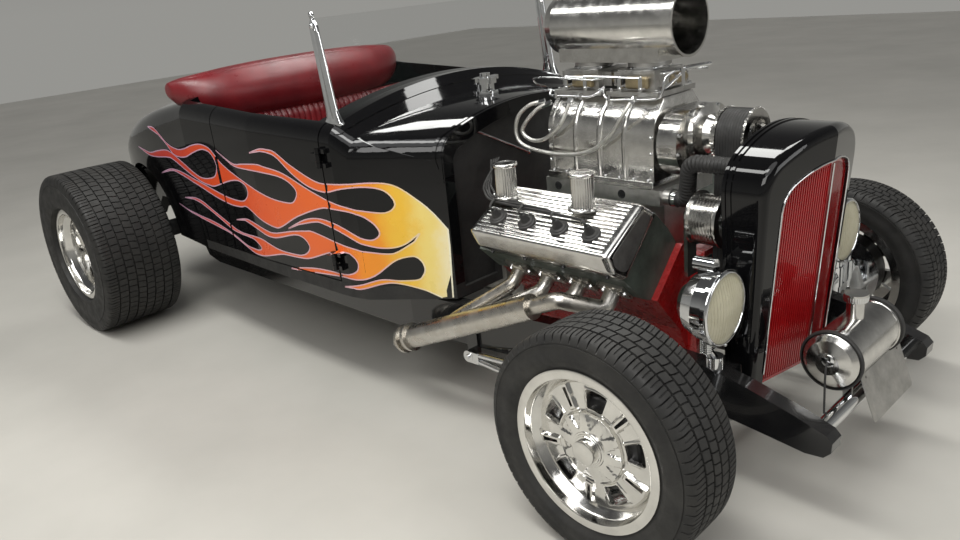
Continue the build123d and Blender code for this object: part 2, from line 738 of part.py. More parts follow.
def make_belt():
    """The wide toothed belt round the blower and crank pulleys, as one loop."""
    def loop(extra):
        r_top, r_low = top_pulley_r + extra, crank_pulley_r + extra
        rise = top_pulley_z - crank_z
        lean = math.asin((r_low - r_top) / rise)
        c, s = math.cos(lean), math.sin(lean)
        a, b = (r_low * c, crank_z + r_low * s), (r_top * c, top_pulley_z + r_top * s)
        edges = [
            Line(a, b),
            ThreePointArc(b, (0, top_pulley_z + r_top), (-b[0], b[1])),
            Line((-b[0], b[1]), (-a[0], a[1])),
            ThreePointArc((-a[0], a[1]), (0, crank_z - r_low), a),
        ]
        return extrude(Pos(at(pulley_plane_back) + 2, 0, 0) * (Plane.YZ * make_face(edges)), belt_width)
    return loop(belt_thick) - loop(0)


carb_backs = (505.0, 312.0)


def make_carbs():
    """Two four-barrel carburettors on their adapter plates, with an air-horn ring each."""
    made = []
    for back in carb_backs:
        x = at(back)
        base = slab(x - 88, x + 88, -95, 95, blower_top_z + 7.3, blower_top_z + 22)
        bowl = slab(x - 62, x + 62, -70, 70, blower_top_z + 22, blower_top_z + 78)
        floats = slab(x - 92, x + 92, -48, 48, blower_top_z + 30, blower_top_z + 70)
        horn = rod((x, 0, blower_top_z + 78), (x, 0, blower_top_z + 98), 62)
        made.append(base + bowl + floats + horn)
    return made


def make_scoop():
    """A long round air scoop, open at the front, closed by a dome, on a flat neck."""
    front, rear = at(scoop_mouth_back), at(scoop_mouth_back + scoop_length)
    r, w = scoop_r, scoop_wall
    dome = [(rear - 70, 0), (rear - 66, 34), (rear - 50, 64), (rear - 26, 84), (rear, r)]
    lip = [(front - 6, r), (front - 6, r + 4), (front, r + 4), (front, 0)]
    tube = revolved_about_x(dome + lip, 0, 0, scoop_z)
    neck = slab(at(590), at(240), -66, 66, blower_top_z + 98.3, scoop_z - 40)
    hole = [(rear - 66, 0), (rear - 62, 34), (rear - 47, 62), (rear - 25, 81), (rear, r - w)]
    bore = revolved_about_x(hole + [(front + 5, r - w), (front + 5, 0)], 0, 0, scoop_z)
    made = tube + neck - bore
    for back in carb_backs:
        made -= rod((at(back), 0, blower_top_z + 90), (at(back), 0, scoop_z), 54)
    return made


def make_headers():
    """Four primaries a side, sweeping down and back into one collector with a clamped cap."""
    head_end = Vector(at(330), -455, 497)
    tail_end = Vector(at(945), -520, 250)
    way = (tail_end - head_end).normalized()
    run = (tail_end - head_end).length
    pipes = rod(tuple(head_end + way * 84), tuple(tail_end - way * 5), collector_r)
    for back_off in (0, 34):
        ring_rear = tail_end - way * back_off
        pipes += rod(tuple(ring_rear - way * 12), tuple(ring_rear), collector_r + 9)
    foot, low, high = port_v + seat_gap, port_u - 34, port_u + 30
    pad = [(low, foot), (low, port_v + 9), (high, port_v + 9), (high, foot)]
    for i in range(4):
        back = first_bore_back + i * bore_pitch
        pipes += along_bank(pad, back - 44, 88)
        port_y, port_z = bank(port_u, port_v + 3)
        elbow_y, elbow_z = bank(port_u, port_v + (66 if i == 0 else 58))
        points = [(at(back), port_y, port_z), (at(back), elbow_y, elbow_z)]
        if i == 0:
            points += [tuple(head_end + way * -10), tuple(head_end + way * 110)]
            pipes += bent_tube(points, 30, pipe_r + 2)
        else:
            points += [tuple(head_end + way * run * (0.16 + 0.2 * i))]
            pipes += bent_tube(points, 40, pipe_r)
    return [pipes, mirrored(pipes)]


def make_gearbox():
    """The bell housing, gearbox and driveshaft, under the body's tunnel."""
    rear = block_front_back + block_length
    x0 = at(rear) - seat_gap
    cone = [(0, 0), (0, 168), (-8, 175), (-60, 165), (-bell_length, 92), (-bell_length, 0)]
    bell = revolved_about_x(cone, x0, 0, crank_z + 8)
    bell = bell & slab(x0 - bell_length, x0, -175, 175, 206, 700)
    gearbox_front, gearbox_rear = rear + bell_length, mount_member_back + 60
    box = slab(at(gearbox_rear), at(gearbox_front), -92, 92, mount_member_top + seat_gap, 428)
    box = chamfer(box.edges().filter_by(Axis.X), 24)
    tail = rod((at(gearbox_rear), 0, 340), (at(gearbox_rear + 150), 0, 340), 52)
    shaft = rod((at(gearbox_rear + 140), 0, 340), (rear_axle_x + 165, 0, 355), 34)
    return bell + box + tail + shaft


def tunnel(grow=0.0):
    """The hump over the bell housing, gearbox and driveshaft, as a closed form."""
    def cut(back, half, top):
        w, z = half + grow, top + grow
        hump = [(-w, 100), (w, 100), (w, z - 70), (w - 60, z), (-w + 60, z), (-w, z - 70)]
        return Pos(at(back), 0, 0) * outline_yz(hump)
    front = firewall_back - (0 if grow else 40)
    return loft([cut(front, 186, 545), cut(1330, 118, 455), cut(1560 + grow, 96, 420)], ruled=True)


def make_screen():
    """Two chrome posts with flared feet, and the flat glass between them."""
    lean, y, x = screen_lean, screen_post_y, at(screen_post_back)
    foot_z = top_surface_z("screen", y)
    foot = Vector(x, -y, foot_z - 6)
    head = Vector(x - lean, -y, screen_top_z)
    stand = Plane(origin=foot, z_dir=head - foot, x_dir=Vector(1, 0, 0))
    post = stand * extrude(RectangleRounded(22, 12, 4), (head - foot).length)
    base = slab(x - 18, x + 34, -y - 12, -y + 6, foot_z - 14, foot_z + 12)
    right = post + base
    cowl = loft([body_section(*BODY[n], inset=-seat_gap) for n in ("cap", "ridge", "screen")], ruled=True)
    right = right - cowl
    right = right.solids().sort_by(SortBy.VOLUME)[-1]
    rise = screen_top_z - foot_z
    pane = Plane(origin=Vector(x, 0, foot_z), z_dir=Vector(-lean, 0, rise), x_dir=Vector(1, 0, 0))
    glass = pane * extrude(RectangleRounded(6, 2 * (y - 6 - seat_gap), 2), rise - 20)
    glass = (glass - cowl).solids().sort_by(SortBy.VOLUME)[-1]
    return [right, mirrored(right)], glass


def make_fuel_cap():
    """The filler neck on the cowl's middle, with its flange and an eared cap."""
    x, y = at(filler_back), 0
    front, rear = BODY["firewall"], BODY["cap"]
    share = (filler_back - front[0]) / (rear[0] - front[0])
    skin = front[5] + share * (rear[5] - front[5])
    top = skin + filler_height
    cap = rod((x, y, skin - 12), (x, y, skin + 9), filler_r + 12)
    cap += rod((x, y, skin - 12), (x, y, top - 32), filler_r)
    cap += rod((x, y, top - 34), (x, y, top - 14), filler_r + 9)
    cap += rod((x, y, top - 14), (x, y, top), filler_r - 12)
    ears = filler_r + 27
    cap += slab(x - 9, x + 9, y - ears, y + ears, top - 26, top - 12)
    clear = loft([body_section(*front, inset=-seat_gap), body_section(*rear, inset=-seat_gap)], ruled=True)
    return (cap - clear).solids().sort_by(SortBy.VOLUME)[-1]


def make_seat():
    """The bench: a base cushion, a back, and the heavy roll that laps over the cockpit's rear edge."""
    floor_z = BODY["seat"][3] + floor_wall + seat_gap
    front = seat_back_back - bulkhead_wall - seat_gap
    base = slab(at(1610), at(front - 58 - seat_gap), -500, 500, floor_z, 640)
    base = fillet(base.edges().filter_by(Axis.Y), radius=45)
    back = slab(at(front - 58), at(front), -530, 530, floor_z, 925)
    half = seat_roll_half
    bulk = [(-half, 18, 2238, 1052), (105 - half, 64, 2198, 1030)]
    bulk += [(335 - half, 98, 2150, 1004), (0, 106, 2132, 1000)]
    bulk += [(-y, r, b, z) for y, r, b, z in reversed(bulk[:-1])]
    rings = []
    for y, r, b, z in bulk:
        across_car = Plane(origin=Vector(at(b), y, z), z_dir=Vector(0, 1, 0), x_dir=Vector(1, 0, 0))
        rings.append(across_car * Circle(r))
    roll = loft(rings)
    inside = cockpit_prism(seat_gap) & slab(at(front), at(1900), -900, 900, 925 + seat_gap, 1300)
    roll = (roll & inside) + (roll - body_form(inset=-seat_gap))
    return [base, back, roll]


def make_dash_and_column():
    """The dashboard panel, the steering column with its bracket, and the box on the left rail."""
    inner = body_form(inset=body_wall + seat_gap, floor=floor_wall)
    dash = inner & slab(at(1196), at(1214), -900, 900, 800, 1100)
    column = rod(tuple(column_point(30)), tuple(column_point(900)), 22)
    firewall_rear = firewall_back + firewall_recess + firewall_wall
    column = column & slab(at(firewall_rear + seat_gap), at(2000), 0, 600, 0, 1200)
    column -= rod(tuple(column_point(10)), tuple(column_point(110)), wheel_shaft_r + running_gap)
    drop = slab(at(1196), at(1214), wheel_y - 16, wheel_y + 16, 660, 800 - seat_gap)
    return dash, column + drop


def column_point(along):
    """A point on the steering column's axis, measured forward from the wheel's centre."""
    lean = math.radians(column_deg)
    return Vector(at(wheel_back) + along * math.cos(lean), wheel_y, wheel_z - along * math.sin(lean))


def make_steering_wheel():
    """A three-spoke wheel with its shaft in the column."""
    centre = column_point(0)
    plane = Plane(origin=centre, z_dir=column_point(1) - centre)
    wheel = plane * Torus(170, 13) + plane * Cylinder(26, 30)
    wheel += rod(tuple(centre), tuple(column_point(100)), wheel_shaft_r)
    for i in range(3):
        a = math.radians(90 + 120 * i)
        tip = plane.from_local_coords(Vector(166 * math.cos(a), 166 * math.sin(a), 0))
        wheel += rod(tuple(centre), tuple(tip), 8)
    return wheel


def make_tyre(r, w, rim_w, x, y, z):
    """A tyre with a flat tread, rounded shoulders, bulged walls and beads inside the rim's flanges."""
    h = w / 2
    bead = rim_w / 2 - flange_foot - seat_gap
    flange = rim_w / 2 - flange_top - seat_gap
    lip = rim_seat_r + seat_gap
    depth = r - lip
    half = [
        (bead, lip), (flange, rim_lip_r + 1), (max(h - 5, flange + 1), rim_lip_r + 10),
        (h, lip + 0.42 * depth), (h - 2, r - 0.28 * depth), (h - 10, r - 8), (h - 26, r - 1.5),
    ]
    hollow = [(h - 30, r - tread_thick), (h - 12, lip + 0.5 * depth), (bead - 8, lip + 24), (bead - 16, lip)]
    profile = half + [(0, r)] + [(-a, b) for a, b in reversed(half)]
    profile += [(-a, b) for a, b in reversed(hollow)] + hollow
    return revolved_about_y(profile, x, y, z)


def make_rim(w, face, hub_in, bore, drum_r, drum_out):
    """A one-piece wheel seen from outside at -Y: barrel, dished face with five windows and five
    slotted spokes, hub dome and cap, with the brake drum behind it. Distances along Y are from the centre."""
    h = w / 2
    seat = rim_seat_r
    barrel = [
        (-h, seat - rim_wall), (-h, rim_lip_r), (-h + flange_top, rim_lip_r), (-h + flange_foot, seat),
        (h - flange_foot, seat), (h - flange_top, rim_lip_r),
        (h, rim_lip_r), (h, seat - rim_wall),
        (h - 24, seat - rim_wall), (h - 46, seat - 26), (face + 26, seat - 26), (-h + 26, seat - rim_wall),
    ]
    wheel = revolved_about_y(barrel, 0, 0, 0)
    disc = [
        (face + 16, 0), (face - 12, 0), (face - 12, 62), (face - 6, 84), (face + 2, 96), (face + 4, 150),
        (face + 14, seat - 24), (face + 26, seat - 24), (face + 18, 150), (face + 16, 96),
    ]
    wheel += revolved_about_y(disc, 0, 0, 0)
    hub = rod((0, face - 10, 0), (0, hub_in, 0), bore + 22)
    drum = rod((0, face + 14, 0), (0, drum_out, 0), drum_r)
    drum -= rod((0, face + 26, 0), (0, drum_out + 1, 0), drum_r - 14)
    cap = rod((0, face - 34, 0), (0, face - 10, 0), 31)
    wheel += hub + drum + cap
    window = Plane.XZ * make_face(Polyline((-17, 102), (17, 102), (25, 144), (-25, 144), close=True))
    window = extrude(window, 60, both=True) & slab(-60, 60, face - 20, face + 24, 90, 160)
    slot = slab(-5, 5, face - 20, face + 8, 104, 150)
    for cut in ring_of(window, 5, Axis.Y, 46 + 36):
        wheel -= cut
    for cut in ring_of(slot, 5, Axis.Y, 46):
        wheel -= cut
    return wheel - rod((0, face + 2, 0), (0, hub_in + 5, 0), bore)


def make_front_axle():
    """The dropped tube axle with its kingpin eyes and spring perches."""
    r = axle_r
    eye_y = kingpin_half
    points = [
        (front_axle_x, -eye_y + 26, front_tyre_r), (front_axle_x, -eye_y + 53, front_tyre_r),
        (front_axle_x, -drop_y, axle_z), (front_axle_x, drop_y, axle_z),
        (front_axle_x, eye_y - 53, front_tyre_r), (front_axle_x, eye_y - 26, front_tyre_r),
    ]
    beam = bent_tube(points, 30, r)
    x, z = front_axle_x, front_tyre_r
    for s in (-1, 1):
        beam += rod((x, s * eye_y, z - 34), (x, s * eye_y, z + 34), 28)
        tip = at(-spring_x - spring_w / 2)
        beam += slab(at(-10), tip, s * perch_y - 10, s * perch_y + 10, axle_z - 24, axle_z - 4)
        beam += slab(tip - spring_w, tip, s * perch_y - 10, s * perch_y + 10, axle_z - 24, axle_z + 14)
    for s in (-1, 1):
        beam -= rod((x, s * eye_y, z - 97), (x, s * eye_y, z + 103), kingpin_r + running_gap)
    return beam


def make_hairpins():
    """Hairpin radius rods: a plate on the axle, two rods and an eye bolted outside the frame rail."""
    made = []
    for s in (-1, 1):
        x, y, heel_y = front_axle_x, s * batwing_y, s * (hairpin_plate_y + 12.3)
        heel_x = at(hairpin_eye_back)
        plate = slab(x - 26, x + 26, y - 8, y + 8, axle_z - 44, axle_z + 84)
        plate -= rod((x, y - 30, axle_z), (x, y + 30, axle_z), axle_r + seat_gap)
        top = rod((x - 16, y, axle_z + 72), (heel_x + 40, heel_y, hairpin_eye_z + 11), 10)
        low = rod((x - 16, y, axle_z - 34), (heel_x + 40, heel_y, hairpin_eye_z - 11), 10)
        yoke = slab(heel_x + 8, heel_x + 46, heel_y - 11, heel_y + 11, hairpin_eye_z - 19, hairpin_eye_z + 19)
        eye = rod((heel_x, heel_y - 12, hairpin_eye_z), (heel_x, heel_y + 12, hairpin_eye_z), 20)
        bolt = rod((heel_x, s * 386, hairpin_eye_z), (heel_x, heel_y + s * 18, hairpin_eye_z), 8)
        made.append(plate + top + low + yoke + eye + bolt)
    return made


def make_front_spring():
    """A transverse leaf spring ahead of the axle, under the crossmember, hung on two shackles."""
    leaf = 6.8
    x0 = at(-spring_x) - spring_w / 2
    top = 300 - seat_gap
    spring = None
    for i in range(5):
        half, z = perch_y - i * 44, top - (5 - i) * leaf
        drop = 30 * (half / perch_y) ** 2
        edges = [
            ThreePointArc((-half, z - drop), (0, z), (half, z - drop)),
            Line((half, z - drop), (half, z - drop + leaf)),
            ThreePointArc((half, z - drop + leaf), (0, z + leaf), (-half, z - drop + leaf)),
            Line((-half, z - drop + leaf), (-half, z - drop)),
        ]
        piece = extrude(Pos(x0, 0, 0) * (Plane.YZ * make_face(edges)), spring_w)
        spring = piece if spring is None else spring + piece
    low = top - 5 * leaf - 30
    for s in (-1, 1):
        spring += rod((x0 - 7, s * perch_y, low + 4), (x0 + spring_w + 7, s * perch_y, low + 4), 9)
        for x in (x0 - 6, x0 + spring_w + 0.5):
            spring += slab(x, x + 5.5, s * perch_y - 10, s * perch_y + 10, axle_z, low + 12)
    return spring


def make_knuckle_left():
    """The left stub axle: yoke round the axle's eye, kingpin, spindle, backing plate and steering arm."""
    y = kingpin_half
    x, z = front_axle_x, front_tyre_r
    pin = rod((x, y, z - 62), (x, y, z + 62), kingpin_r)
    ears = rod((x, y, z - 60), (x, y, z - 34 - 1), 24) + rod((x, y, z + 34 + 1), (x, y, z + 60), 24)
    yoke = slab(x - 24, x + 24, y + 31, y + 47, z - 60, z + 60)
    for low in (z - 60, z + 35):
        yoke += slab(x - 20, x + 20, y, y + 40, low, low + 25)
    spindle = rod((x, y + 40, z), (x, y + 118, z), spindle_r)
    plate = rod((x, y + 38, z), (x, y + 42, z), brake_plate_r)
    arm = slab(x - arm_length, x, y - 12, y + 12, tie_rod_z + 14, tie_rod_z + 26)
    boss = rod((x - arm_length, y, tie_rod_z + 12), (x - arm_length, y, tie_rod_z + 28), 16)
    hole = rod((x - arm_length, y, tie_rod_z), (x - arm_length, y, tie_rod_z + 60), stud_r + running_gap)
    return pin + ears + yoke + spindle + plate + arm + boss - hole


def make_tie_rod():
    """The tie rod between the two steering arms, with a stud up into each."""
    x = at(arm_length)
    z = tie_rod_z
    bar = rod((x, -kingpin_half + 8, z), (x, kingpin_half - 8, z), 9)
    for s in (-1, 1):
        bar += rod((x, s * kingpin_half, z - 13), (x, s * kingpin_half, z + 12 - seat_gap), 13)
        bar += rod((x, s * kingpin_half, z), (x, s * kingpin_half, z + 32), stud_r)
    return bar


def make_rear_axle():
    """The live axle: centre casing, tubes and the stub ends in the rear wheels."""
    x, z = rear_axle_x, rear_tyre_r
    bulge = [(-95, 0), (-95, 60), (-60, 118), (0, 138), (60, 118), (95, 60), (95, 0)]
    casing = revolved_about_y(bulge, x, 0, z)
    nose = rod((x + 60, 0, z), (x + 164, 0, z - 4), 62)
    tubes = rod((x, -560, z), (x, 560, z), axle_tube_r)
    ends = rod((x, -575, z), (x, -556, z), 58) + rod((x, 556, z), (x, 575, z), 58)
    stubs = rod((x, -655, z), (x, 655, z), spindle_r + 5)
    return casing + nose + tubes + ends + stubs


def make_rear_suspension():
    """Ladder bars forward to the frame and upright coil-over dampers behind the axle."""
    made = []
    x, z = rear_axle_x, rear_tyre_r
    eye_x = at(bar_eye_back)
    for s in (-1, 1):
        y = s * bar_y
        bracket = slab(x - 96, x + 50, y - 8, y + 8, z - 90, z + 66)
        bracket -= rod((x, y - 20, z), (x, y + 20, z), axle_tube_r + seat_gap)
        bars = rod((x + 40, y, z + 52), (eye_x - 20, y, bar_eye_z + 6), 13)
        bars += rod((x + 40, y, z - 78), (eye_x - 20, y, bar_eye_z - 6), 13)
        eye = rod((eye_x, y - 18, bar_eye_z), (eye_x, y + 18, bar_eye_z), 19)
        eye += slab(eye_x - 50, eye_x - 8, y - 12, y + 12, bar_eye_z - 16, bar_eye_z + 16)
        damper_x, damper_y = x - 84, y - s * 8
        damper = rod((damper_x, damper_y, z - 74), (damper_x, damper_y, damper_top_z), 11)
        damper += rod((damper_x, damper_y, z - 20), (damper_x, damper_y, damper_top_z - 60), 26)
        made.append(bracket + bars + eye + damper)
    return made


def make_headlamps():
    """Bowl, rim and top marker lamp, each on a turned stand over the frame rail."""
    made, lenses = [], []
    r = lens_r + seat_gap
    bowl_back = [(-112, 0), (-110, 22), (-98, 50), (-74, 74), (-40, r), (-8, r + 3)]
    rim = [(-8, r + 9), (4, r + 9), (4, r), (0, r), (0, 0)]
    top = [(at(back), z + seat_gap) for back, z in horn_top]
    rail = across(outline_xz(top + [(at(horn_top[1][0]), 250), (at(horn_top[0][0]), 250)]), -900, 900)
    for s in (-1, 1):
        x, y, z = at(-lamp_x), s * lamp_y, lamp_z
        bowl = revolved_about_x(bowl_back + rim, x, y, z)
        marker = rod((x - 74, y, z + 106), (x - 18, y, z + 106), 17)
        marker += slab(x - 64, x - 28, y - 9, y + 9, z + 78, z + 104)
        stand_x, foot_y = x - 46, s * lamp_foot_y
        stem = rod((stand_x, y, z - 130), (stand_x, y, z - 80), 15)
        foot = rod((stand_x, y, z - 122), (stand_x, foot_y, rail_top_z + 2), 13)
        foot += rod((stand_x, foot_y, rail_top_z - 30), (stand_x, foot_y, rail_top_z + 14), 24)
        made.append(bowl + marker + stem + foot - rail)
        glass = [(0.3, 0), (0.3, lens_r), (6, lens_r), (14, 70), (19, 40), (21, 0)]
        lenses.append(revolved_about_x(glass, x, y, z))
    return made, lenses


def make_tail_lamps():
    """Round tail lamps on short brackets at the rear quarters."""
    made = []
    for s in (-1, 1):
        x, y, z = at(3010), s * 512, 560
        lamp = revolved_about_x([(0, 0), (0, 36), (14, 40), (52, 26), (60, 0)], x - 30, y + s * 6, z)
        arm = rod((x - 12, s * 440, z), (x - 12, y + s * 4, z), 9)
        whole = (lamp + arm) - body_form()
        made.append(whole.solids().sort_by(SortBy.VOLUME)[-1])
    return made


def make_plate():
    """The blank number plate, leaning back in front of the spreader bar."""
    blank = Box(2.5, plate_w, plate_h)
    blank = fillet(blank.edges().filter_by(Axis.X), radius=10)
    for y in (-plate_w / 2 + 26, plate_w / 2 - 26):
        blank -= Pos(0, y, plate_h / 2 - 12) * (Rot(0, 90, 0) * Cylinder(3.5, 10))
    return Pos(at(-plate_x), plate_y, plate_z) * (Rot(0, -plate_lean, 0) * blank)


def make_hose():
    """The upper coolant hose from the thermostat housing to the radiator's top tank."""
    start = at(manifold_front_back - 24 - seat_gap)
    end = at(-67.5 + seat_gap)
    low_y, low_z = hose_low
    points = [(start, -low_y, low_z), (at(126), -low_y, low_z)]
    points += [(at(94), -hose_y, hose_top_z), (end, -hose_y, hose_top_z)]
    return bent_tube(points, 30, hose_r)


def build():
    cowl, floor_pan, rear_body, wheel_tubs, door_right, lid = make_body()
    fixed, moving = make_door_hinges()
    for piece in fixed:
        cowl += piece
        cowl += mirrored(piece)
    for piece in moving:
        door_right += piece
    save("cowl", cowl)
    save("firewall", make_firewall())
    save("floor_pan", floor_pan)
    save("rear_body", rear_body)
    save("wheel_tubs", wheel_tubs)
    save("door_right", door_right)
    save("door_left", mirrored(door_right))
    save("boot_lid", lid)
    save("frame", make_frame())
    save("spreader_bar", make_spreader_bar())
    save("fuel_tank", make_tank())
    save("grille_shell", make_grille_shell())
    save("grille_bars", make_grille_bars())
    save("radiator", make_radiator())
    save("engine_block", make_block())
    save("cylinder_heads", *make_heads())
    save("rocker_covers", *make_covers())
    save("intake_manifold", make_manifold())
    save("blower_case", make_blower())
    blower_drive, crank_pulley = make_blower_drive()
    save("blower_drive", blower_drive)
    save("crank_pulley", crank_pulley)
    save("belt_idler", make_idler())
    save("blower_belt", make_belt())
    save("carburettors", *make_carbs())
    save("air_scoop", make_scoop())
    save("exhaust_headers", *make_headers())
    save("gearbox", make_gearbox())
    save("coolant_hose", make_hose())
    save("fuel_cap", make_fuel_cap())
    posts, glass = make_screen()
    save("screen_posts", *posts)
    save("screen_glass", glass)
    save("seat", *make_seat())
    dash, column = make_dash_and_column()
    save("dashboard", dash)
    save("steering_column", column)
    save("steering_wheel", make_steering_wheel())
    save("front_axle", make_front_axle())
    save("hairpins", *make_hairpins())
    save("front_spring", make_front_spring())
    knuckle = make_knuckle_left()
    save("knuckle_left", knuckle)
    save("knuckle_right", mirrored(knuckle))
    save("tie_rod", make_tie_rod())
    save("rear_axle", make_rear_axle())
    save("rear_suspension", *make_rear_suspension())
    lamps, lenses = make_headlamps()
    save("headlamps", *lamps)
    save("headlamp_lenses", *lenses)
    save("tail_lamps", *make_tail_lamps())
    save("number_plate", make_plate())
    for side, s in (("right", -1), ("left", 1)):
        y = s * front_track / 2
        tyre = make_tyre(front_tyre_r, front_tyre_w, front_rim_w, front_axle_x, y, front_tyre_r)
        save(f"tyre_front_{side}", tyre)
        rim = make_rim(front_rim_w, -57, 38, hub_bore_r, 120, 34)
        rim = rim if s < 0 else mirrored(rim)
        save(f"rim_front_{side}", Pos(front_axle_x, y, front_tyre_r) * rim)
        y = s * rear_track / 2
        tyre = make_tyre(rear_tyre_r, rear_tyre_w, rear_rim_w, rear_axle_x, y, rear_tyre_r)
        save(f"tyre_rear_{side}", tyre)
        rim = make_rim(rear_rim_w, -64, 190, spindle_r + 5 + running_gap, 140, 176)
        rim = rim if s < 0 else mirrored(rim)
        save(f"rim_rear_{side}", Pos(rear_axle_x, y, rear_tyre_r) * rim)


build()
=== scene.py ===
import json
import math
import bmesh
import bpy
import numpy as np
from mathutils import Matrix, Vector, bvhtree, geometry


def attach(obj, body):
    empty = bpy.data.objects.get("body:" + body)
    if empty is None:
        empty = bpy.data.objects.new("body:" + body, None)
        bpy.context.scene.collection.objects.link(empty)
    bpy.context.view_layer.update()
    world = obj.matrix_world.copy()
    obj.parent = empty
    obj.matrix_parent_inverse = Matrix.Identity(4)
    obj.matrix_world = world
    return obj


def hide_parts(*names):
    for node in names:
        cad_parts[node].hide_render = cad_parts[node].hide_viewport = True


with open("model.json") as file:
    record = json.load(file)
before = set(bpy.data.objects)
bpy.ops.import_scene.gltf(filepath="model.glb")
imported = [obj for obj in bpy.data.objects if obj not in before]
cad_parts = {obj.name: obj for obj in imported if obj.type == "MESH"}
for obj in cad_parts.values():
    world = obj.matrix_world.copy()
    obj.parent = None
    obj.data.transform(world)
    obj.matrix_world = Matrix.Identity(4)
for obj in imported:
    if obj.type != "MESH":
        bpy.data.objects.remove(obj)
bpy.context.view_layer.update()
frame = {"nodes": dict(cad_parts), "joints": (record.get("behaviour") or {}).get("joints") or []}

# Places taken from the frame, in metres.
joints = {j["name"]: j for j in frame["joints"]}
FRONT_HUB = np.array(joints["wheel_front_right_spin"]["pos_m"])
REAR_HUB = np.array(joints["wheel_rear_right_spin"]["pos_m"])
AXLE_X = FRONT_HUB[0]
SIDES = {"right": -1.0, "left": 1.0}
PROUD = 0.0008     # how far paint stands off the skin


def at(back):
    """X of a station this far behind the front axle."""
    return AXLE_X - back


# Shapes worked out on grids.
def sheet(points, wrap_u=False, wrap_v=False):
    """Quads over a grid of points, rows along u and columns along v, joined end to start where wrapped."""
    rows, columns = points.shape[:2]
    index = np.arange(rows * columns).reshape(rows, columns)
    if wrap_u:
        index = np.vstack([index, index[:1]])
    if wrap_v:
        index = np.hstack([index, index[:, :1]])
    corners = [index[:-1, :-1], index[1:, :-1], index[1:, 1:], index[:-1, 1:]]
    return points.reshape(-1, 3), np.stack(corners, -1).reshape(-1, 4).tolist()


def capped(rings):
    """Closed rings joined in order, with a flat end on the first and the last."""
    points, faces = sheet(rings, wrap_v=True)
    count = rings.shape[1]
    last = len(points) - count
    return points, faces + [list(range(count))[::-1], list(range(last, last + count))]


def distances(line):
    """How far along a line each of its points is."""
    return np.concatenate([[0], np.cumsum(np.linalg.norm(np.diff(line, axis=0), axis=1))])


def spaced(line, spots):
    """The points at given distances along a line."""
    walk = distances(line)
    return np.stack([np.interp(spots, walk, line[:, k]) for k in range(line.shape[1])], 1)


def unit(v):
    """Vectors brought to length 1."""
    v = np.asarray(v, float)
    return v / np.linalg.norm(v, axis=-1, keepdims=True)


def basis(axis):
    """Two unit vectors square to an axis and to each other."""
    w = unit(axis)
    helper = np.eye(3)[np.argmin(np.abs(w))]
    u = unit(np.cross(helper, w))
    return u, np.cross(w, u), w


def turned(profile, centre, axis, count=48):
    """A profile of (distance, radius) carried round an axis: centre + d*w + r*(u cos a + v sin a)."""
    u, v, w = basis(axis)
    p = np.asarray(profile, float)
    a = np.linspace(0, 2 * np.pi, count, endpoint=False)[None, :, None]
    d, r = p[:, 0][:, None, None], p[:, 1][:, None, None]
    return sheet(np.asarray(centre, float) + d * w + r * (np.cos(a) * u + np.sin(a) * v), wrap_v=True)


def eased(points, radius, steps):
    """Rounds each corner of an open line: a quadratic curve from a radius before it to one after it."""
    p = np.asarray(points, float)
    before, corner, after = p[:-2], p[1:-1], p[2:]

    def pulled(q):
        """Corners moved toward q by the radius, or by less than half the way."""
        away = q - corner
        length = np.maximum(np.linalg.norm(away, axis=1, keepdims=True), 1e-9)
        return corner + away * np.minimum(radius / length, 0.45)
    a, b = pulled(before)[:, None], pulled(after)[:, None]
    t = np.linspace(0, 1, steps + 1)[None, :, None]
    curve = (1 - t) ** 2 * a + 2 * t * (1 - t) * corner[:, None] + t ** 2 * b
    return np.vstack([p[:1], curve.reshape(-1, p.shape[1]), p[-1:]])


def eased_loop(points, radius, steps):
    """The same for a closed outline."""
    p = np.asarray(points, float)
    return eased(np.vstack([p[-1:], p, p[:1]]), radius, steps)[1:-1]


def through(points, per_run):
    """A smooth line through its points: cubics whose end slopes are half the chord across each point."""
    p = np.asarray(points, float)
    p = np.vstack([2 * p[:1] - p[1:2], p, 2 * p[-1:] - p[-2:-1]])
    a, b, c, d = (p[i:len(p) - 3 + i][:, None] for i in range(4))
    t = np.linspace(0, 1, per_run, endpoint=False)[None, :, None]
    level = 2 * b + (c - a) * t
    curve = 0.5 * (level + (2 * a - 5 * b + 4 * c - d) * t ** 2 + (3 * b - a - 3 * c + d) * t ** 3)
    return np.vstack([curve.reshape(-1, p.shape[1]), p[-2:-1]])


def tube(path, radius, sides=12):
    """A circle carried along a path, square to its tangent, with closed ends."""
    p = np.asarray(path, float)
    t = unit(np.gradient(p, axis=0))
    flat = np.linalg.svd(t)[2][-1]
    n = unit(flat - (t @ flat)[:, None] * t)
    b = np.cross(t, n)
    r = np.broadcast_to(np.asarray(radius, float), (len(p),))[:, None, None]
    a = np.linspace(0, 2 * np.pi, sides, endpoint=False)[None, :, None]
    return capped(p[:, None] + r * (np.cos(a) * n[:, None] + np.sin(a) * b[:, None]))


def bar(start, end, radius, sides=16, edge=0.0012):
    """A round bar with chamfered ends."""
    length = float(np.linalg.norm(np.subtract(end, start)))
    rim = [(0, 0), (0, radius - edge), (edge, radius), (length - edge, radius), (length, radius - edge),
           (length, 0)]
    return turned(rim, start, np.subtract(end, start), sides)


def inset(outline, gap):
    """A closed outline moved inward by gap: each corner moves along the mitre of its two sides."""
    p = np.asarray(outline, float)
    side = unit(np.roll(p, -1, 0) - p)
    area = np.sum(p[:, 0] * np.roll(p[:, 1], -1) - np.roll(p[:, 0], -1) * p[:, 1])
    normal = np.stack([-side[:, 1], side[:, 0]], 1) * np.sign(area)
    mitre = normal + np.roll(normal, 1, 0)
    return p + gap * mitre / np.maximum(np.sum(mitre * normal, axis=1, keepdims=True), 0.3)


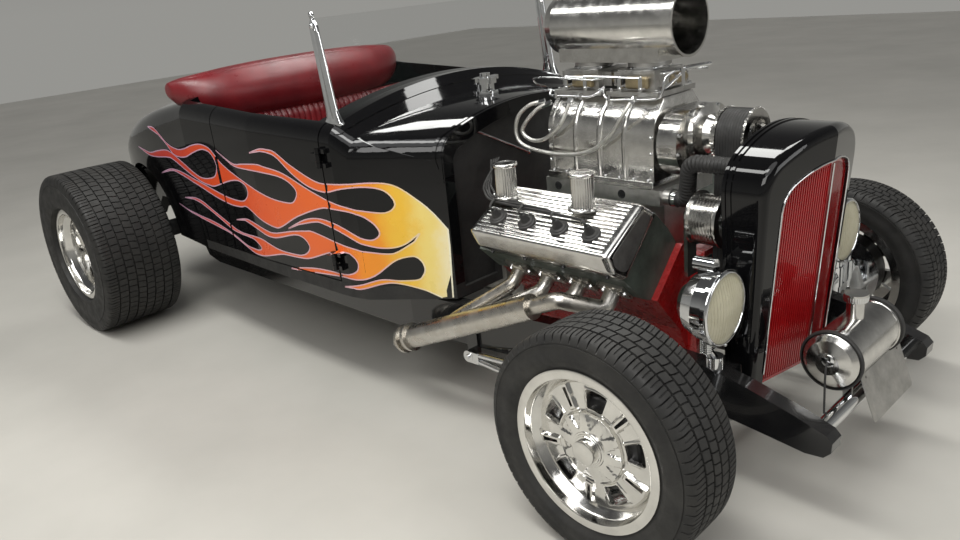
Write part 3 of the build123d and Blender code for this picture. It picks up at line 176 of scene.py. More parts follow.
def prism(outline, origin, u, v, depth, edge=0.001):
    """A closed outline of (u, v) points carried square to both, its two rims chamfered."""
    u, v = np.asarray(u, float), np.asarray(v, float)
    w = np.cross(u, v)
    full, small = np.asarray(outline, float), inset(outline, edge)
    rings = []
    for ring, d in ((small, 0.0), (full, edge), (full, depth - edge), (small, depth)):
        rings.append(np.asarray(origin, float) + ring[:, :1] * u + ring[:, 1:] * v + d * w)
    return capped(np.stack(rings))


def rectangle(half_u, half_v, corner):
    """A rectangle about the origin with rounded corners."""
    outline = [(-half_u, -half_v), (half_u, -half_v), (half_u, half_v), (-half_u, half_v)]
    return eased_loop(outline, corner, 3)


def block(low, high, edge=0.002):
    """A box between two corners with rounded upright edges and chamfered rims."""
    low, high = np.asarray(low, float), np.asarray(high, float)
    half = (high - low) / 2
    middle = (high + low) / 2
    outline = rectangle(half[0], half[1], edge * 1.5)
    return prism(outline, (middle[0], middle[1], low[2]), (1, 0, 0), (0, 1, 0), high[2] - low[2], edge)


def moved(part, offset):
    """The same part at another place."""
    return part[0] + np.asarray(offset, float), part[1]


def spun(part, centre, axis, angle):
    """A part turned about an axis through a point."""
    turn = np.array(Matrix.Rotation(angle, 3, Vector(axis)))
    centre = np.asarray(centre, float)
    return (part[0] - centre) @ turn.T + centre, part[1]


def ring_of(part, centre, axis, count):
    """Copies of a part spaced evenly round an axis."""
    return [spun(part, centre, axis, 2 * np.pi * i / count) for i in range(count)]


def flipped(part):
    """The same part on the other side of the car."""
    return part[0] * (1, -1, 1), [f[::-1] for f in part[1]]


def fluted(foot, heights, deep, radius, wave, flutes, count):
    """A round wall standing on foot: radius + wave * cos(flutes * angle) at the heights where deep is 1."""
    a = np.linspace(0, 2 * np.pi, count, endpoint=False)[None, :]
    z = np.array(heights)[:, None]
    r = radius + wave * np.array(deep)[:, None] * np.cos(flutes * a)
    return sheet(np.stack([r * np.cos(a), r * np.sin(a), np.repeat(z, count, 1)], -1) + foot, wrap_v=True)


def bolt(centre, axis, size, height):
    """A hexagonal bolt head with a low crown over a washer."""
    u, v, w = basis(axis)
    a = np.arange(6) * np.pi / 3
    hexagon = np.stack([np.cos(a), np.sin(a)], 1) * size
    head = prism(hexagon, centre, u, v, height, size * 0.12)
    washer_r, thin = size * 1.35, 0.001
    washer = turned([(0, 0), (0, washer_r), (thin, washer_r), (thin, 0)], centre, w, 14)
    crown = turned([(height, size * 0.8), (height + size * 0.18, 0)], centre, w, 12)
    return [head, washer, crown]


def piece(name, parts, body, finish, replaces=(), crease=35, merge=1e-6):
    """One finished object: doubles merged, normals outward, edges sharper than the crease kept sharp."""
    starts = np.cumsum([0] + [len(p[0]) for p in parts])
    points = np.vstack([p[0] for p in parts])
    faces = [[i + start for i in f] for (_, fs), start in zip(parts, starts) for f in fs]
    mesh = bpy.data.meshes.new(name)
    mesh.from_pydata(points.tolist(), [], faces)
    work = bmesh.new()
    work.from_mesh(mesh)
    bmesh.ops.remove_doubles(work, verts=work.verts, dist=merge)
    bmesh.ops.recalc_face_normals(work, faces=work.faces)
    work.to_mesh(mesh)
    work.free()
    mesh.shade_smooth()
    mesh.set_sharp_from_angle(angle=math.radians(crease))
    made = bpy.data.objects.new(name, mesh)
    bpy.context.scene.collection.objects.link(made)
    mesh.materials.append(MAT[finish])
    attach(made, body)
    if replaces:
        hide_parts(*replaces)
    return made


# Shader groups shared by the finishes.
def wired(tree, *runs):
    """Links sockets, each run given as (node, output, next node, input)."""
    for first, out, second, into in runs:
        tree.links.new(first.outputs[out], second.inputs[into])


def new_node(tree, kind, **constants):
    """A shader node with constants in its sockets; an underscore stands for the space in a socket's name."""
    made = tree.nodes.new("ShaderNode" + kind)
    for label, value in constants.items():
        made.inputs[label.replace("_", " ")].default_value = value
    return made


def new_math(tree, operation, *constants):
    """A maths node; its constants go into the second socket and those after it."""
    made = tree.nodes.new("ShaderNodeMath")
    made.operation = operation
    for number, value in enumerate(constants, 1):
        made.inputs[number].default_value = value
    return made


def new_group(name, output, **inputs):
    """An empty node group with one float output and float inputs that have defaults."""
    made = bpy.data.node_groups.new(name, "ShaderNodeTree")
    for label, value in inputs.items():
        socket = made.interface.new_socket(label, in_out="INPUT", socket_type="NodeSocketFloat")
        socket.default_value = value
    made.interface.new_socket(output, in_out="OUTPUT", socket_type="NodeSocketFloat")
    return made, made.nodes.new("NodeGroupInput"), made.nodes.new("NodeGroupOutput")


def mottle_group():
    """Slow patches: a noise of the object's own place, spread between Low and High."""
    made, ins, outs = new_group("mottle", "Value", Scale=8.0, Low=0.2, High=0.4)
    place = new_node(made, "TexCoord")
    broad = new_node(made, "TexNoise", Detail=5.0, Roughness=0.62)
    spread = new_node(made, "MapRange", From_Min=0.32, From_Max=0.68)
    wired(made, (place, "Object", broad, "Vector"), (ins, "Scale", broad, "Scale"),
          (broad, "Fac", spread, "Value"), (ins, "Low", spread, "To Min"), (ins, "High", spread, "To Max"),
          (spread, "Result", outs, "Value"))
    return made


def grain_group():
    """Fine relief: pebbles from cell distance, softened by noise, as a height."""
    made, ins, outs = new_group("grain", "Height", Scale=400.0, Pebbles=0.5)
    place = new_node(made, "TexCoord")
    cells = new_node(made, "TexVoronoi")
    noise = new_node(made, "TexNoise", Detail=3.0)
    mixed = new_node(made, "Mix")
    for texture in (cells, noise):
        wired(made, (place, "Object", texture, "Vector"), (ins, "Scale", texture, "Scale"))
    wired(made, (ins, "Pebbles", mixed, "Factor"), (noise, "Fac", mixed, "A"),
          (cells, "Distance", mixed, "B"), (mixed, "Result", outs, "Height"))
    return made


def dust_group():
    """Dust that lies on faces that look up, broken by noise: a mask from 0 to Amount."""
    made, ins, outs = new_group("dust", "Mask", Amount=0.3)
    shape = new_node(made, "NewGeometry")
    split = new_node(made, "SeparateXYZ")
    upward = new_node(made, "MapRange", From_Min=0.2, From_Max=0.95)
    place = new_node(made, "TexCoord")
    noise = new_node(made, "TexNoise", Scale=60.0, Detail=6.0)
    broken = new_math(made, "MULTIPLY")
    share = new_math(made, "MULTIPLY")
    wired(made, (shape, "Normal", split, "Vector"), (split, "Z", upward, "Value"),
          (place, "Object", noise, "Vector"), (upward, "Result", broken, 0), (noise, "Fac", broken, 1),
          (broken, "Value", share, 0), (ins, "Amount", share, 1), (share, "Value", outs, "Mask"))
    return made


MOTTLE, GRAIN, DUST = mottle_group(), grain_group(), dust_group()
DUST_GREY = (0.34, 0.32, 0.29)


def start(name):
    """A material with its Principled shader, ready to be dressed."""
    made = bpy.data.materials.new(name)
    made.use_nodes = True
    return made, made.node_tree.nodes["Principled BSDF"]


def grouped(material, group, **values):
    """A shared group placed in a material with that material's own values."""
    node = material.node_tree.nodes.new("ShaderNodeGroup")
    node.node_tree = group
    for key, value in values.items():
        node.inputs[key.capitalize()].default_value = value
    return node


def tinted(material, first, second, mask):
    """Base colour between two colours by a mask socket."""
    tree = material.node_tree
    mix = tree.nodes.new("ShaderNodeMix")
    mix.data_type = "RGBA"
    mix.inputs["A"].default_value = (*first, 1)
    mix.inputs["B"].default_value = (*second, 1)
    tree.links.new(mask, mix.inputs["Factor"])
    tree.links.new(mix.outputs["Result"], tree.nodes["Principled BSDF"].inputs["Base Color"])
    return mix


def roughened(material, low, high, scale):
    """Roughness between two values in patches."""
    node = grouped(material, MOTTLE, scale=scale, low=low, high=high)
    tree = material.node_tree
    tree.links.new(node.outputs["Value"], tree.nodes["Principled BSDF"].inputs["Roughness"])


def bumped(material, height, strength, depth):
    """A height socket turned into a normal."""
    tree = material.node_tree
    bump = new_node(tree, "Bump", Strength=strength, Distance=depth)
    tree.links.new(height, bump.inputs["Height"])
    tree.links.new(bump.outputs["Normal"], tree.nodes["Principled BSDF"].inputs["Normal"])


def coated(shader, weight, rough=0.03):
    """A clear coat of lacquer."""
    shader.inputs["Coat Weight"].default_value = weight
    shader.inputs["Coat Roughness"].default_value = rough


def surface(name, first, second, rough, scale=9.0, metal=0.0, coat=0.0, grain=None, dust=0.0):
    """Colour and roughness vary in patches; grain is (scale, pebbles, strength, depth)."""
    material, shader = start(name)
    shader.inputs["Metallic"].default_value = metal
    if coat:
        coated(shader, coat)
    mask = grouped(material, MOTTLE, scale=scale, low=0.0, high=1.0).outputs["Value"]
    colour = tinted(material, first, second, mask)
    roughened(material, rough[0], rough[1], scale * 2.3)
    if grain:
        height = grouped(material, GRAIN, scale=grain[0], pebbles=grain[1]).outputs["Height"]
        bumped(material, height, grain[2], grain[3])
    if dust:
        tree = material.node_tree
        veil = tree.nodes.new("ShaderNodeMix")
        veil.data_type = "RGBA"
        veil.inputs["B"].default_value = (*DUST_GREY, 1)
        lying = grouped(material, DUST, amount=dust)
        wired(tree, (lying, "Mask", veil, "Factor"), (colour, "Result", veil, "A"),
              (veil, "Result", shader, "Base Color"))
    return material


def gloss_black():
    """Deep black lacquer, polished, with the faintest orange peel."""
    material = surface("gloss_black", (0.0025, 0.0025, 0.003), (0.0045, 0.0045, 0.005), (0.035, 0.08), 3.0,
                       coat=0.55, grain=(260.0, 0.0, 0.05, 0.0004), dust=0.008)
    material.node_tree.nodes["Principled BSDF"].inputs["Specular IOR Level"].default_value = 0.12
    return material


def frame_black():
    """Gloss black on the chassis, a little dustier."""
    return surface("frame_black", (0.006, 0.006, 0.007), (0.012, 0.012, 0.012), (0.09, 0.22), 6.0,
                   coat=0.7, grain=(300.0, 0.1, 0.08, 0.0004), dust=0.06)


def trim_black():
    """Satin black inside the cockpit and under the floor."""
    return surface("trim_black", (0.012, 0.012, 0.012), (0.022, 0.021, 0.02), (0.45, 0.7), 10.0,
                   grain=(700.0, 0.6, 0.25, 0.0005), dust=0.05)


def bright_chrome():
    """Plated steel, mirror bright, with a trace of wear and dust."""
    return surface("bright_chrome", (0.83, 0.84, 0.85), (0.72, 0.73, 0.74), (0.03, 0.11), 14.0, metal=1.0,
                   grain=(90.0, 0.0, 0.03, 0.0006), dust=0.05)


def polished_alloy():
    """Buffed cast aluminium, bright, with soft waves left by the buffing."""
    return surface("polished_alloy", (0.80, 0.79, 0.76), (0.62, 0.61, 0.59), (0.10, 0.27), 16.0, metal=1.0,
                   grain=(70.0, 0.15, 0.10, 0.0008), dust=0.08)


def wheel_alloy():
    """Polished wheel metal, a little softer than chrome."""
    return surface("wheel_alloy", (0.80, 0.79, 0.76), (0.68, 0.67, 0.645), (0.07, 0.2), 18.0, metal=1.0,
                   grain=(60.0, 0.1, 0.06, 0.0006), dust=0.06)


def cast_alloy():
    """Plain cast aluminium with its sand texture."""
    return surface("cast_alloy", (0.52, 0.51, 0.49), (0.36, 0.355, 0.34), (0.3, 0.52), 20.0, metal=1.0,
                   grain=(520.0, 0.5, 0.35, 0.0007), dust=0.12)


def engine_red():
    """Red enamel over the block's cast iron."""
    return surface("engine_red", (0.42, 0.012, 0.012), (0.25, 0.008, 0.008), (0.16, 0.4), 14.0, coat=0.5,
                   grain=(330.0, 0.4, 0.25, 0.0006), dust=0.06)


def dark_casting():
    """The grey, unpolished ends of the rocker covers."""
    return surface("dark_casting", (0.17, 0.165, 0.155), (0.11, 0.105, 0.10), (0.4, 0.6), 22.0, metal=0.6,
                   grain=(420.0, 0.5, 0.3, 0.0006), dust=0.06)


def gold_casting():
    """Carburettor castings in their faded gold finish."""
    return surface("gold_casting", (0.42, 0.34, 0.20), (0.25, 0.215, 0.15), (0.28, 0.5), 26.0, metal=0.8,
                   grain=(460.0, 0.4, 0.3, 0.0006), dust=0.08)


def braided_steel():
    """Woven steel over a hose: two crossed fine bands as relief."""
    material = surface("braided_steel", (0.72, 0.71, 0.67), (0.50, 0.49, 0.46), (0.25, 0.45), 30.0, metal=0.9)
    tree = material.node_tree
    place = new_node(tree, "TexCoord")
    higher = new_math(tree, "MAXIMUM")
    for number, turn in enumerate((0.8, -0.8)):
        mapping = new_node(tree, "Mapping", Rotation=(turn, turn, 0.4))
        wave = new_node(tree, "TexWave", Scale=130.0)
        wired(tree, (place, "Object", mapping, "Vector"), (mapping, "Vector", wave, "Vector"),
              (wave, "Fac", higher, number))
    bumped(material, higher.outputs["Value"], 0.5, 0.0006)
    return material


def head_green():
    """Grey-green paint over cast iron."""
    return surface("head_green", (0.085, 0.105, 0.088), (0.045, 0.055, 0.046), (0.3, 0.55), 18.0,
                   grain=(380.0, 0.5, 0.4, 0.0008), dust=0.1)


def pipe_steel():
    """Satin coated header pipes, warmer and darker in patches."""
    return surface("pipe_steel", (0.66, 0.64, 0.60), (0.47, 0.44, 0.39), (0.2, 0.42), 12.0, metal=1.0,
                   grain=(240.0, 0.2, 0.12, 0.0004), dust=0.06)


def dark_steel():
    """Blackened steel of springs, drums and bolts."""
    return surface("dark_steel", (0.06, 0.06, 0.062), (0.025, 0.025, 0.026), (0.3, 0.55), 18.0, metal=0.8,
                   grain=(420.0, 0.3, 0.3, 0.0005), dust=0.1)


def grille_red():
    """Glossy red paint on the grille bars."""
    return surface("grille_red", (0.44, 0.012, 0.014), (0.33, 0.008, 0.01), (0.10, 0.24), 8.0, coat=0.6,
                   grain=(200.0, 0.0, 0.05, 0.0003), dust=0.02)


def hose_rubber():
    """Black rubber of hoses, leads and the belt."""
    return surface("hose_rubber", (0.014, 0.014, 0.014), (0.03, 0.029, 0.028), (0.45, 0.7), 24.0,
                   grain=(620.0, 0.4, 0.3, 0.0005), dust=0.1)


def tyre_black():
    """Used tyre rubber, greyed by dust in patches."""
    return surface("tyre_black", (0.010, 0.010, 0.010), (0.024, 0.023, 0.021), (0.5, 0.78), 11.0,
                   grain=(520.0, 0.5, 0.3, 0.0007), dust=0.07)


def red_leather():
    """Maroon-red hide with fine pebbles, shinier where it is worn."""
    material = surface("red_leather", (0.20, 0.012, 0.016), (0.115, 0.006, 0.01), (0.26, 0.46), 7.0,
                       grain=(520.0, 0.75, 0.35, 0.0012), dust=0.03)
    coated(material.node_tree.nodes["Principled BSDF"], 0.25, 0.3)
    return material


def fluted_glass():
    """Cream-tinted lens glass."""
    material = surface("fluted_glass", (0.80, 0.76, 0.58), (0.62, 0.58, 0.42), (0.03, 0.09), 14.0)
    shader = material.node_tree.nodes["Principled BSDF"]
    shader.inputs["Transmission Weight"].default_value = 0.35
    shader.inputs["IOR"].default_value = 1.5
    return material


def clear_glass():
    """Windscreen glass, thin enough to look straight through, that shows more as it is seen edge on."""
    material, shader = start("clear_glass")
    tree = material.node_tree
    shader.inputs["Base Color"].default_value = (0.03, 0.045, 0.04, 1)
    shader.inputs["Transmission Weight"].default_value = 0.0
    roughened(material, 0.0, 0.03, 5.0)
    edge_on = new_node(tree, "LayerWeight")
    steep = new_math(tree, "POWER", 4.0)
    lift = new_math(tree, "MULTIPLY_ADD", 0.6, 0.06)
    wired(tree, (edge_on, "Facing", steep, 0), (steep, "Value", lift, 0), (lift, "Value", shader, "Alpha"))
    return material


def lens_red():
    """Red glass of the tail lamps."""
    material = surface("lens_red", (0.42, 0.005, 0.006), (0.3, 0.003, 0.004), (0.06, 0.12), 20.0, coat=1.0)
    material.node_tree.nodes["Principled BSDF"].inputs["Transmission Weight"].default_value = 0.25
    return material


def by_station(name, stops):
    """Colour that changes with the distance behind the front axle: stops are (station, colour)."""
    material, shader = start(name)
    tree = material.node_tree
    first, last = stops[0][0], stops[-1][0]
    place = new_node(tree, "TexCoord")
    split = new_node(tree, "SeparateXYZ")
    noise = grouped(material, MOTTLE, scale=7.0, low=-0.02, high=0.02)
    wander = new_math(tree, "ADD")
    spread = new_node(tree, "MapRange", From_Min=at(first), From_Max=at(last))
    ramp = new_node(tree, "ValToRGB")
    ramp.color_ramp.interpolation = "EASE"
    while len(ramp.color_ramp.elements) < len(stops):
        ramp.color_ramp.elements.new(0.5)
    for element, (station, colour) in zip(ramp.color_ramp.elements, stops):
        element.position = (station - first) / (last - first)
        element.color = (*colour, 1)
    wired(tree, (place, "Object", split, "Vector"), (split, "X", wander, 0), (noise, "Value", wander, 1),
          (wander, "Value", spread, "Value"), (spread, "Result", ramp, "Fac"),
          (ramp, "Color", shader, "Base Color"))
    coated(shader, 0.25)
    roughened(material, 0.25, 0.4, 12.0)
    return material


def flame_paint():
    """Cream at the cowl, through yellow and orange, to red tips."""
    return by_station("flame_paint", [
        (0.806, (0.93, 0.82, 0.50)), (0.862, (0.90, 0.70, 0.20)), (0.925, (0.88, 0.52, 0.04)),
        (1.02, (0.86, 0.28, 0.01)), (1.14, (0.84, 0.135, 0.010)), (1.9, (0.76, 0.075, 0.010)),
        (2.45, (0.60, 0.045, 0.03)),
    ])


def stripe_paint():
    """The thin line round the flames: white at the cowl, lilac behind."""
    return by_station("stripe_paint", [
        (0.806, (0.92, 0.86, 0.66)), (0.93, (0.85, 0.62, 0.36)), (1.02, (0.72, 0.42, 0.45)),
        (2.45, (0.62, 0.36, 0.50)),
    ])


MAT = {make.__name__: make() for make in (
    gloss_black, frame_black, trim_black, bright_chrome, polished_alloy, wheel_alloy, cast_alloy,
    dark_casting, gold_casting, braided_steel, engine_red, head_green,
    pipe_steel, dark_steel, grille_red, hose_rubber, tyre_black, red_leather, fluted_glass, clear_glass,
    lens_red, flame_paint, stripe_paint)}

FINISHES = {
    "gloss_black": "cowl rear_body wheel_tubs door_right door_left boot_lid grille_shell",
    "frame_black": "frame",
    "trim_black": "dashboard floor_pan firewall",
    "bright_chrome": "spreader_bar fuel_cap screen_posts steering_column steering_wheel front_axle hairpins "
                     "knuckle_left knuckle_right tie_rod headlamps",
    "polished_alloy": "fuel_tank rocker_covers blower_case blower_drive belt_idler air_scoop "
                      "rim_front_right rim_front_left rim_rear_right rim_rear_left",
    "cast_alloy": "intake_manifold carburettors gearbox number_plate",
    "engine_red": "engine_block",
    "head_green": "cylinder_heads",
    "pipe_steel": "exhaust_headers",
    "dark_steel": "radiator crank_pulley front_spring rear_axle rear_suspension",
    "grille_red": "grille_bars",
    "hose_rubber": "blower_belt coolant_hose",
    "tyre_black": "tyre_front_right tyre_front_left tyre_rear_right tyre_rear_left",
    "red_leather": "seat",
    "fluted_glass": "headlamp_lenses",
    "clear_glass": "screen_glass",
    "lens_red": "tail_lamps",
}


def dress_frame():
    """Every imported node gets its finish."""
    for finish, nodes in FINISHES.items():
        for name in nodes.split():
            mesh = frame["nodes"][name].data
            mesh.materials.clear()
            mesh.materials.append(MAT[finish])


dress_frame()


# Flames on the body's sides, as thin paint over the skin. Each stroke runs from tip to tip, in
# (distance behind the front axle, height), both in millimetres.
FLAME_STROKES = [
    # first lick, top
    [(806, 615), (845, 675), (885, 720), (940, 765), (1010, 776), (1120, 770), (1220, 770), (1350, 812),
     (1435, 852), (1485, 858), (1535, 856), (1605, 837)],
    # first lick, underside, and first bay
    [(1530, 849), (1480, 847), (1430, 834), (1355, 786), (1270, 750), (1180, 739), (1100, 756), (1025, 764),
     (965, 749), (940, 705), (970, 677), (1050, 689), (1165, 710), (1270, 737), (1410, 780), (1520, 793),
     (1575, 798), (1675, 790), (1750, 786), (1870, 830)],
    # second lick, underside, and second bay
    [(1760, 782), (1710, 774), (1555, 772), (1415, 763), (1346, 727), (1370, 685), (1425, 675), (1545, 685),
     (1720, 733), (1835, 776), (1900, 822), (1940, 836), (2000, 839), (2070, 828), (2145, 809), (2220, 801),
     (2315, 818), (2420, 873), (2500, 875)],
    # third lick, underside, and third bay
    [(2390, 849), (2330, 817), (2270, 777), (2210, 770), (2140, 777), (2075, 797), (2010, 815), (1960, 821),
     (1910, 809), (1882, 770), (1900, 731), (1940, 711), (2040, 702), (2155, 737), (2290, 780), (2350, 786),
     (2440, 775), (2530, 759), (2600, 763), (2685, 771)],
    # fourth lick, underside, and fourth bay
    [(2610, 755), (2540, 745), (2455, 747), (2345, 756), (2285, 752), (2155, 713), (2040, 684), (1980, 678),
     (1930, 679), (1815, 710), (1755, 721), (1715, 721), (1680, 708), (1672, 683), (1690, 660), (1720, 645),
     (1775, 641), (1870, 648), (2010, 672), (2185, 700), (2265, 707), (2345, 704), (2450, 677)],
    # fifth lick and the lower edge of the second
    [(2345, 698), (2280, 700), (2110, 672), (1950, 636), (1870, 623), (1810, 617), (1745, 619), (1700, 624),
     (1615, 589), (1530, 571), (1480, 579), (1370, 630), (1235, 675), (1165, 685), (1060, 678), (1012, 649),
     (993, 609), (1020, 587), (1070, 604), (1135, 630), (1230, 641), (1325, 625), (1440, 577)],
    # sixth lick, underside, to the swoosh
    [(1370, 602), (1265, 626), (1215, 626), (1130, 609), (1065, 582), (995, 560), (935, 567), (882, 607)],
    # swoosh, lower side, and seventh lick
    [(900, 578), (950, 545), (980, 539), (1040, 548), (1165, 569), (1285, 587), (1330, 584), (1420, 570),
     (1490, 555), (1535, 547), (1580, 548), (1680, 568), (1730, 573), (1810, 559)],
    # seventh lick, underside, and fifth bay
    [(1740, 567), (1695, 557), (1600, 532), (1560, 528), (1515, 533), (1410, 559), (1365, 560), (1335, 547),
     (1323, 526), (1337, 507), (1365, 492), (1410, 484), (1525, 485), (1620, 506), (1670, 510), (1795, 512),
     (1895, 540), (2010, 577), (2070, 597), (2140, 605), (2250, 592)],
    # eighth lick, underside
    [(2155, 597), (2085, 588), (1960, 549), (1860, 514), (1795, 505), (1735, 502), (1690, 496), (1650, 471),
     (1675, 458), (1715, 458), (1765, 463), (1865, 494), (2000, 520), (2160, 533), (2250, 541), (2330, 555)],
    # ninth lick and sixth bay
    [(2220, 533), (2135, 524), (1965, 504), (1890, 494), (1830, 478), (1725, 444), (1680, 439), (1630, 443),
     (1515, 469), (1460, 473), (1395, 476), (1330, 485), (1200, 528), (1120, 539), (1093, 529), (1077, 511),
     (1076, 493), (1086, 476), (1110, 464), (1145, 458), (1230, 456), (1315, 450), (1410, 435), (1470, 422)],
    # tenth lick and last bay
    [(1400, 427), (1260, 440), (1155, 448), (1085, 447), (1026, 464), (962, 515), (918, 529), (898, 525),
     (885, 508), (880, 484), (888, 462), (904, 448), (955, 446), (1010, 450), (1080, 428), (1157, 412)],
    # bottom edge
    [(1115, 414), (1080, 414), (1006, 436), (960, 437), (895, 416), (860, 397), (812, 366)],
    # front edge
    [(809, 472), (806, 560)],
]
STRIPE_WIDTH, STRIPE_STEP, FLAME_STEP = 0.0045, 0.006, 0.022
DOOR_FRONT, DOOR_REAR, DOOR_LOW, DOOR_TOP = 1.172, 1.862, 0.432, 1.2
PANEL_GAP = 0.005


def skin_of(names):
    """One ray-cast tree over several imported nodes."""
    work = bmesh.new()
    for name in names:
        work.from_mesh(frame["nodes"][name].data)
    tree = bvhtree.BVHTree.FromBMesh(work)
    work.free()
    return tree


def dropped_on(tree, points, way, proud):
    """Points moved along a direction to the skin, and then out along its normal. None where a ray misses."""
    found = []
    for p in points:
        hit, normal, _, _ = tree.ray_cast(Vector(p), Vector(way))
        if hit is None:
            found.append(None)
            continue
        normal = -normal if normal.dot(Vector(way)) > 0 else normal
        found.append(tuple(hit + normal * proud))
    return found


def inside(outline, points):
    """True where a point lies inside a closed outline, by counting the sides that a level ray crosses."""
    a, b = outline[None], np.roll(outline, -1, 0)[None]
    p = points[:, None]
    crosses = (a[..., 1] > p[..., 1]) != (b[..., 1] > p[..., 1])
    run = (b[..., 0] - a[..., 0]) * (p[..., 1] - a[..., 1]) / np.where(crosses, b[..., 1] - a[..., 1], 1)
    return np.sum(crosses & (p[..., 0] < a[..., 0] + run), axis=1) % 2 == 1


def door_frame(gap):
    """The door's outline in (station, height), grown by a gap on its three cut sides."""
    return np.array([(DOOR_FRONT - gap, DOOR_TOP), (DOOR_FRONT - gap, DOOR_LOW - gap),
                     (DOOR_REAR + gap, DOOR_LOW - gap), (DOOR_REAR + gap, DOOR_TOP)])


def flame_outline():
    """The whole edge as one loop, each stroke smoothed between its two tips."""
    return np.vstack([through(np.array(stroke) / 1000, 5) for stroke in FLAME_STROKES])


def onto_body(name, flat, faces, finish, proud):
    """Faces in (station, height) laid on both sides of the body, split between the doors and the panels."""
    middle = np.array([flat[list(f)].mean(0) for f in faces])
    on_door = inside(door_frame(0.0), middle)
    near_door = inside(door_frame(PANEL_GAP), middle)
    for kind, keep in (("body", ~near_door), ("door", on_door)):
        chosen = [f for f, k in zip(faces, keep) if k]
        used = sorted({i for f in chosen for i in f})
        tree = skin_of(["door_right"] if kind == "door" else ["cowl", "rear_body", "floor_pan"])
        rays = [(at(flat[i][0]), -1.2, flat[i][1]) for i in used]
        found = dict(zip(used, dropped_on(tree, rays, (0, 1, 0), proud)))
        chosen = [f for f in chosen if all(found[i] is not None for i in f)]
        used = sorted({i for f in chosen for i in f})
        order = {i: k for k, i in enumerate(used)}
        part = (np.array([found[i] for i in used]), [[order[i] for i in f] for f in chosen])
        for side, sign in SIDES.items():
            body = f"door_{side}" if kind == "door" else "chassis"
            shape = part if sign < 0 else flipped(part)
            made = piece(f"{name}_{kind}_{side}", [shape], body, finish, merge=1e-7)
            outward_y(made, sign)


def outward_y(made, sign):
    """Turns an open skin piece so that its faces look away from the car."""
    total = sum(f.normal.y * f.area for f in made.data.polygons)
    if total * sign < 0:
        made.data.flip_normals()


def make_flames():
    """Fills the outline with triangles fine enough to follow the skin, and lays a thin stripe along it."""
    edge = flame_outline()
    low, high = edge.min(0), edge.max(0)
    across, up = np.arange(low[0], high[0], FLAME_STEP), np.arange(low[1], high[1], FLAME_STEP)
    grid = np.stack(np.meshgrid(across, up), -1).reshape(-1, 2)
    grid = grid[inside(edge, grid)]
    frames = [door_frame(0.0), door_frame(PANEL_GAP)]
    points = [Vector(p) for p in np.vstack([edge, *frames, grid])]
    count = len(edge)
    lines = [(i, (i + 1) % count) for i in range(count)]
    for k in range(2):
        first = count + 4 * k
        lines += [(first + i, first + i + 1) for i in range(3)]
    flat, _, faces, _, _, _ = geometry.delaunay_2d_cdt(points, lines, [], 0, 1e-6)
    flat = np.array([tuple(p) for p in flat])
    middle = np.array([flat[list(f)].mean(0) for f in faces])
    faces = [list(f) for f, k in zip(faces, inside(edge, middle)) if k]
    onto_body("flames", flat, faces, "flame_paint", PROUD)
    make_stripe(edge)


def make_stripe(edge):
    """A ribbon along the edge: at each point, half the width to either side of the local direction."""
    loop = np.vstack([edge, edge[:1]])
    line = spaced(loop, np.arange(0, distances(loop)[-1], STRIPE_STEP))
    along = unit(np.roll(line, -1, 0) - np.roll(line, 1, 0) + 1e-9)
    across = np.stack([-along[:, 1], along[:, 0]], 1) * STRIPE_WIDTH / 2
    count = len(line)
    flat = np.vstack([line - across, line + across])
    faces = [[i, (i + 1) % count, (i + 1) % count + count, i + count] for i in range(count)]
    onto_body("stripe", flat, faces, "stripe_paint", PROUD * 1.5)


make_flames()


# Wheels and tyres. Distances along the axle are measured outboard from the wheel's middle plane.
FRONT_TYRE, REAR_TYRE = (0.297, 0.190, 0.176), (0.359, 0.340, 0.300)    # radius, width, rim width
RIM_SEAT, RIM_LIP, RIM_WALL = 0.190, 0.208, 0.007
CORNERS = {
    # name: (hub, tyre, face, hub's inner end, bore, drum radius, drum's inner end)
    "front": (FRONT_HUB, FRONT_TYRE, 0.057, -0.038, 0.01705, 0.120, -0.034),
    "rear": (REAR_HUB, REAR_TYRE, 0.064, -0.190, 0.02205, 0.140, -0.176),
}
SPOKES, SPOKES_AT = 5, 191.0
SECTOR = 360 / SPOKES
HALF_SECTOR = SECTOR / 2
WINDOW_ANGLE, WINDOW_IN, WINDOW_OUT = 12.6, 0.1005, 0.148
SLOT_ANGLE, SLOT_IN, SLOT_OUT = 2.0, 0.106, 0.154
RIB_HEIGHT, LIP_HEIGHT, POCKET_DEPTH = 0.0080, 0.0030, 0.0062
RELIEF_FROM, DOME_IN, DOME_OUT = 0.0425, 0.050, 0.089
CORNER_IN, CORNER_TURN = 0.0026, 1.4      # how far a window's corners are drawn in, in metres and degrees


def smooth(low, high, value):
    """0 below low, 1 above high, a cubic between."""
    t = np.clip((value - low) / (high - low), 0, 1)
    return t * t * (3 - 2 * t)


def wheel_angles():
    """Degrees round the wheel, close together at the spokes' slots and the windows' sides."""
    half = np.array([0, 1.0, SLOT_ANGLE, 2.5, 3.3, 4.5, 6.0, 8, 10.5, 13, 15.5, 18, 20.3, 22.0,
                     HALF_SECTOR - WINDOW_ANGLE, 25.5, 28, 31, 33.5])
    sector = np.concatenate([half, [HALF_SECTOR], SECTOR - half[:0:-1]])
    return np.concatenate([sector + SECTOR * k for k in range(SPOKES)])


